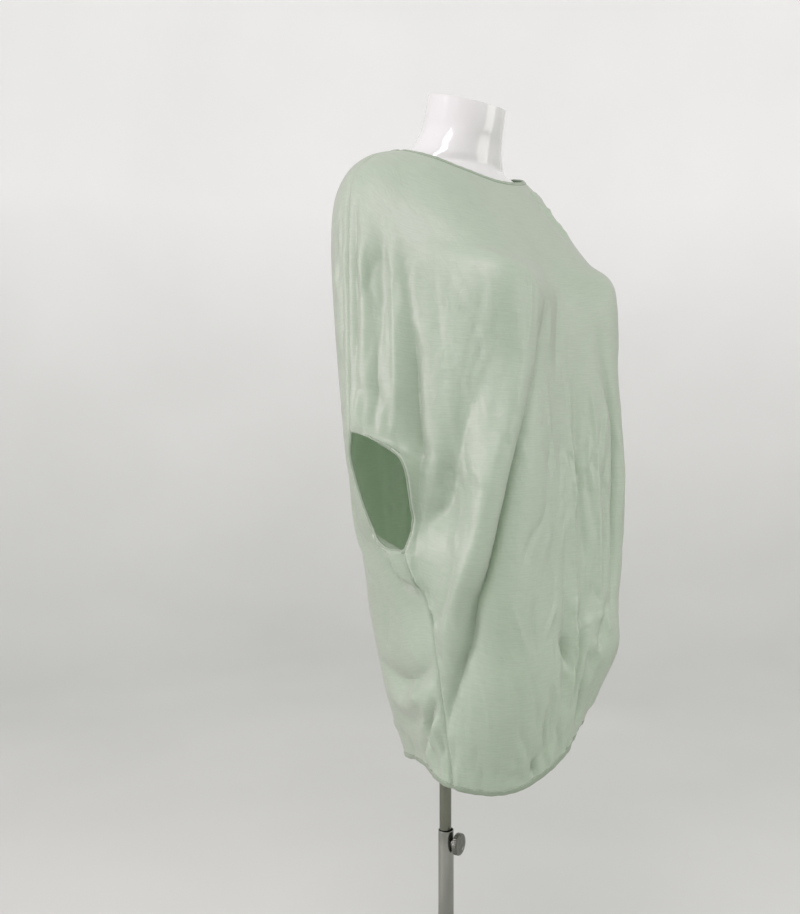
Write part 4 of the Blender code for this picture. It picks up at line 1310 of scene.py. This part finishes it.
@dataclass
class Stand:
    """The weighted foot, the telescoping tubes, the clamp and the form's socket."""

    gap: float = 0.0003
    sides: int = 96
    base_radius: float = 0.155
    base_thickness: float = 0.007
    base_bevel: float = 0.0025
    base_flat: float = 0.80
    under_bevel: float = 0.8
    hub_radius: float = 0.028
    hub_neck: float = 0.0165
    hub_height: float = 0.034
    hub_step: float = 0.010
    hub_slope: float = 0.006
    tube_radius: float = 0.011
    tube_bore: float = 0.0099
    tube_top: float = 0.506
    lip_share: float = 0.45
    pole_radius: float = 0.0085
    pole_bottom: float = 0.200
    pole_lean: float = 0.0010
    clamp_height: float = 0.489
    clamp_turn: float = math.radians(15)
    boss_radius: float = 0.0065
    boss_reach: float = 0.0155
    screw_radius: float = 0.003
    knob_radius: float = 0.0150
    knob_start: float = 0.0165
    knob_thickness: float = 0.0075
    knob_flutes: int = 30
    flute_steps: int = 8
    flute_depth: float = 0.022
    flutes_from: float = 0.93
    dish_share: float = 0.62
    dish_depth: float = 0.0009
    dish_slope: float = 0.0012
    socket_radius: float = 0.0115
    socket_flange: float = 0.038
    socket_length: float = 0.045
    flange_thickness: float = 0.004
    form_bottom: float = TORSO[0].up

    def piece(
        self, name: str, corners: Sequence[tuple[float, float, float]], look: bpy.types.Material, body: str,
        node: str, place: Matrix | None = None,
    ) -> None:
        """Turns an outline into a piece that stands for a node.

        Args:
            name: the piece's name.
            corners: the outline's radius, up and rounding.
            look: its material.
            body: the body that it rides on.
            node: the node that it stands for.
            place: where the turned body goes, if not on the origin.
        """
        bm = turned(corners, self.sides)
        if place is not None:
            bmesh.ops.transform(bm, matrix=place, verts=bm.verts)
        self.add(from_bmesh(name, bm, 32.0), look, body, node)

    def add(self, made: bpy.types.Object, look: bpy.types.Material, body: str, node: str) -> None:
        """Gives a piece its look, its body and the node that it stands for."""
        made.data.materials.append(look)
        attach(made, body)
        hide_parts(node)
        LOG.info("%s stands for %s on %s", made.name, node, body)

    def build(self) -> None:
        """Makes every piece of the stand."""
        plate = ChromeFinish("foot_chrome", smooth=0.16, worn=0.34).make()
        tube = ChromeFinish("tube_chrome").make()
        # The pole's and the fittings' colours are darker still: painted reflection of dark surroundings.
        pole = ChromeFinish("pole_chrome", bright=(0.20, 0.21, 0.17), dull=(0.13, 0.13, 0.11)).make()
        dark = {"bright": (0.20, 0.21, 0.19), "dull": (0.12, 0.12, 0.10)}
        small = ChromeFinish("fitting_chrome", smooth=0.18, worn=0.36, **dark).make()
        lean = Vector((-math.sin(self.clamp_turn), math.cos(self.clamp_turn), 0)) * self.pole_lean
        leaning = Matrix.Translation(lean)

        top, edge = self.base_thickness, self.base_bevel
        foot = ((0, top, 0), (self.base_radius * self.base_flat, top, 0), (self.base_radius, top, edge),
                (self.base_radius, 0, edge * self.under_bevel), (0, 0, 0))
        self.piece("foot_plate", foot, plate, "stand", "base_plate")

        seat, bore = top + self.gap, self.tube_radius + self.gap
        hub = ((self.hub_neck, seat + self.hub_height, 0.0012),
               (self.hub_neck, seat + self.hub_step + self.hub_slope, 0.004),
               (self.hub_radius, seat + self.hub_step, 0.003), (self.hub_radius, seat, 0.0008),
               (bore, seat, 0), (bore, seat + self.hub_height, 0.0006))
        self.piece("foot_hub", hub, small, "stand", "base_hub")

        lip = (self.tube_radius - self.tube_bore) * self.lip_share
        outer = ((self.tube_radius, self.tube_top, lip), (self.tube_radius, seat, 0),
                 (self.tube_bore, seat, 0), (self.tube_bore, self.tube_top, lip))
        self.piece("lower_tube", outer, tube, "stand", "outer_tube")

        flange_top = self.form_bottom - self.gap
        flange = flange_top - self.flange_thickness
        socket_bore = self.pole_radius + self.gap
        mouth = flange_top - self.socket_length
        socket = ((self.socket_flange, flange_top, 0.0008), (self.socket_flange, flange, 0.0012),
                  (self.socket_radius, flange, 0.003), (self.socket_radius, mouth, 0.001),
                  (socket_bore, mouth, 0.0005), (socket_bore, flange_top, 0))
        self.piece("form_flange", socket, small, "dressed_form", "form_socket", leaning)

        pole_top = flange_top - self.gap
        inner = ((0, pole_top, 0), (self.pole_radius, pole_top, 0.0006),
                 (self.pole_radius, self.pole_bottom, 0.0006), (0, self.pole_bottom, 0))
        self.piece("sliding_pole", inner, pole, "pole", "inner_pole", leaning)
        self.build_clamp(small)

    def build_clamp(self, look: bpy.types.Material) -> None:
        """Makes the boss on the tube, the screw and the fluted knob."""
        spin = Matrix.Rotation(self.clamp_turn, 4, "Z") @ Matrix.Rotation(math.pi / 2, 4, "X")
        place = Matrix.Translation((0, 0, self.clamp_height)) @ spin
        seat, hole = self.tube_radius + self.gap, self.screw_radius + self.gap
        boss = ((self.boss_radius, self.boss_reach, 0.0009), (self.boss_radius, seat, 0), (hole, seat, 0),
                (hole, self.boss_reach, 0.0004))
        self.piece("clamp_collar", boss, look, "stand", "clamp_boss", place)
        tip = self.knob_start - self.gap
        thread = self.screw_radius
        screw = ((0, tip, 0), (thread, tip, 0.0003), (thread, seat, 0.0003), (0, seat, 0))
        self.piece("clamp_thread", screw, look, "knob", "clamp_screw", place)
        start, end = self.knob_start, self.knob_start + self.knob_thickness
        dish, floor = self.knob_radius * self.dish_share, end - self.dish_depth
        knob = ((0, floor, 0), (dish, floor, 0.001), (dish + self.dish_slope, end, 0.0006),
                (self.knob_radius, end, 0.0014), (self.knob_radius, start, 0.0014), (0, start, 0))
        bm = turned(knob, self.knob_flutes * self.flute_steps)
        for vert in bm.verts:
            radius = math.hypot(vert.co.x, vert.co.y)
            if radius > self.knob_radius * self.flutes_from:
                angle = math.atan2(vert.co.y, vert.co.x) * self.knob_flutes
                groove = 1 - self.flute_depth * (0.5 - 0.5 * math.cos(angle)) ** 2
                vert.co.x *= groove
                vert.co.y *= groove
        bmesh.ops.transform(bm, matrix=place, verts=bm.verts)
        self.add(from_bmesh("fluted_knob", bm, 40.0), look, "knob", "clamp_knob")


# ---------------------------------------------------------------- the studio


@dataclass
class Lamp:
    """A softbox aimed at the tunic: where it stands and how strong it is."""

    name: str
    azimuth: float
    elevation: float
    size: float
    power: float
    colour: Colour
    distance: float = 2.7


@dataclass
class Studio:
    """The pale cove, the soft lamps, the sky light and the camera."""

    aim: Place = (0.0, -0.06, 1.05)
    floor_rings: tuple[float, ...] = (0.0, 0.6, 1.8)
    floor_radius: float = 3.0
    cove_radius: float = 1.8
    wall_top: float = 6.0
    cove_steps: int = 12
    cove_sides: int = 96
    cove_weld: float = 1e-5
    camera_turn: float = math.radians(46)
    camera_distance: float = 1.42
    camera_height: float = 1.08
    focal_pixels: float = 1000.0
    frame_height: float = 914.0
    frame_width: float = 800.0
    axis_pixel_x: float = 446.0
    horizon_pixel_y: float = 425.0
    sensor: float = 36.0
    sky: float = 0.70
    lamps: tuple[Lamp, ...] = (
        Lamp("side_window", -116.0, 12.0, 1.2, 28.0, (1.0, 0.89, 0.97)),
        Lamp("key_softbox", -64.0, 42.0, 0.8, 12.0, (1.0, 0.90, 0.97)),
        Lamp("high_softbox", -48.0, 50.0, 0.7, 15.0, (1.0, 0.90, 0.97)),
        Lamp("front_fill", 30.0, 10.0, 1.4, 14.0, (1.0, 1.0, 0.95)),
    )

    def build(self) -> None:
        """Makes the cove, the lamps and the camera."""
        outline = [(radius, 0.0) for radius in (*self.floor_rings, self.floor_radius)]
        for part in np.linspace(0, math.pi / 2, self.cove_steps + 1)[1:]:
            outline.append((self.floor_radius + self.cove_radius * math.sin(part),
                            self.cove_radius * (1 - math.cos(part))))
        outline.append((self.floor_radius + self.cove_radius, self.wall_top))
        bm = spun(outline, self.cove_sides)
        bmesh.ops.remove_doubles(bm, verts=bm.verts, dist=self.cove_weld)
        bmesh.ops.recalc_face_normals(bm, faces=bm.faces)
        cove = from_bmesh("studio_cove", bm, 60.0)
        cove.data.materials.append(StudioFinish().make())
        for lamp in self.lamps:
            self.light(lamp)
        world = bpy.data.worlds.new("studio_sky")
        world.use_nodes = True
        background = world.node_tree.nodes["Background"].inputs
        background["Color"].default_value = (1.0, 1.0, 1.0, 1.0)
        background["Strength"].default_value = self.sky
        bpy.context.scene.world = world
        bpy.context.scene.view_settings.view_transform = "Standard"
        self.camera()

    def light(self, lamp: Lamp) -> None:
        """Places a softbox. Azimuth 0 is in front of the tunic, and -90 at its right."""
        turn, rise = math.radians(lamp.azimuth), math.radians(lamp.elevation)
        way = Vector((math.sin(turn) * math.cos(rise), -math.cos(turn) * math.cos(rise), math.sin(rise)))
        data = bpy.data.lights.new(lamp.name, "AREA")
        data.shape = "SQUARE"
        data.size = lamp.size
        data.energy = lamp.power
        data.color = lamp.colour
        made = bpy.data.objects.new(lamp.name, data)
        bpy.context.scene.collection.objects.link(made)
        made.location = Vector(self.aim) + way * lamp.distance
        made.rotation_euler = (-way).to_track_quat("-Z", "Y").to_euler()
        made.visible_camera = False

    def camera(self) -> None:
        """Places the camera, level, off the tunic's right front."""
        data = bpy.data.cameras.new("camera")
        data.sensor_width = self.sensor
        data.lens = self.focal_pixels * self.sensor / self.frame_height
        data.shift_x = (self.frame_width / 2 - self.axis_pixel_x) / self.frame_height
        data.shift_y = (self.horizon_pixel_y - self.frame_height / 2) / self.frame_height
        made = bpy.data.objects.new("camera", data)
        bpy.context.scene.collection.objects.link(made)
        turn = self.camera_turn
        made.location = (
            -self.camera_distance * math.sin(turn), -self.camera_distance * math.cos(turn), self.camera_height
        )
        made.rotation_euler = (math.pi / 2, 0.0, -turn)
        bpy.context.scene.camera = made


# ---------------------------------------------------------------- putting it together


def mount(piece: bpy.types.Object, node: str | None) -> None:
    """Makes a piece of the dressed form ride with it, and stand for its node if it has one."""
    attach(piece, "dressed_form")
    if node is not None:
        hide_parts(node)
    LOG.info("%s stands for %s", piece.name, node or "no node")


def bind(
    strip: Binding, edge: tuple[np.ndarray, np.ndarray, np.ndarray], node: str,
    look: bpy.types.Material, thread: bpy.types.Material, cloth: float,
) -> list[bpy.types.Object]:
    """Makes a strip and its stitches, and mounts them.

    Args:
        strip: the strip's own sizes.
        edge: the places, the outward normals and the ways in which the strip grows.
        node: the node that the strip stands for.
        look: the strip's material.
        thread: the stitches' material.
        cloth: the thickness of the cloth.

    Returns:
        The strip and the stitches.
    """
    pieces = list(strip.build(*edge, look, thread, cloth))
    mount(pieces[0], node)
    mount(pieces[1], None)
    return pieces


def dress(tree: BVHTree) -> None:
    """Makes the tunic on the form whose surface the tree finds."""
    tunic = Tunic()
    jersey = JerseyFinish("mint_jersey").make()
    # The bindings' yarn is about half as light as the body's: partly the neck strip's own darker colour,
    # partly painted shade that dims the lit faces of the hem and armhole strips.
    trim = JerseyFinish(
        "mint_binding",
        yarn=(0.31, 0.39, 0.29),
        slub=(0.26, 0.33, 0.24),
        sheen=0.1,
        lustre=1.40,
        crinkle_depth=0.0004,
        see_through=0.05,
    ).make()
    sewing = (trim, ThreadFinish().make(), tunic.cloth)
    drapes = tunic.draped(tree)
    front = tunic.build_panel("front_cloth", drapes[F], jersey)
    back = tunic.build_panel("back_cloth", drapes[B], jersey)
    mount(front, "front_panel")
    mount(back, "back_panel")

    neck = Binding("neck_binding_strip", width=0.0062, thickness=0.0031)
    with_front = bind(neck, tunic.end_edge(drapes, 0, 1), "neck_binding", *sewing)
    hem = Binding("hem_band_strip", width=0.0075, thickness=0.0031)
    with_back = bind(hem, tunic.end_edge(drapes, -1, -2), "hem_band", *sewing)
    for side, suffix in ((Side.RIGHT, "right"), (Side.LEFT, "left")):
        strip = Binding(
            f"armhole_strip_{suffix}", width=0.0052, thickness=0.0028,
            steps=260, puckers=50, smoothing=6, turning=60,
        )
        with_back += bind(strip, tunic.armhole_edge(drapes, side), f"armhole_binding_{suffix}", *sewing)


def main() -> None:
    """Builds the studio, the stand, the form and the tunic, in that order."""
    logging.basicConfig(level=logging.INFO, format="%(message)s")
    Studio().build()
    Stand().build()
    form, tree = DressForm().build(GlossFinish().make())
    mount(form, "dress_form")
    dress(tree)
    bpy.context.view_layer.update()


if __name__ == "__main__":
    main()
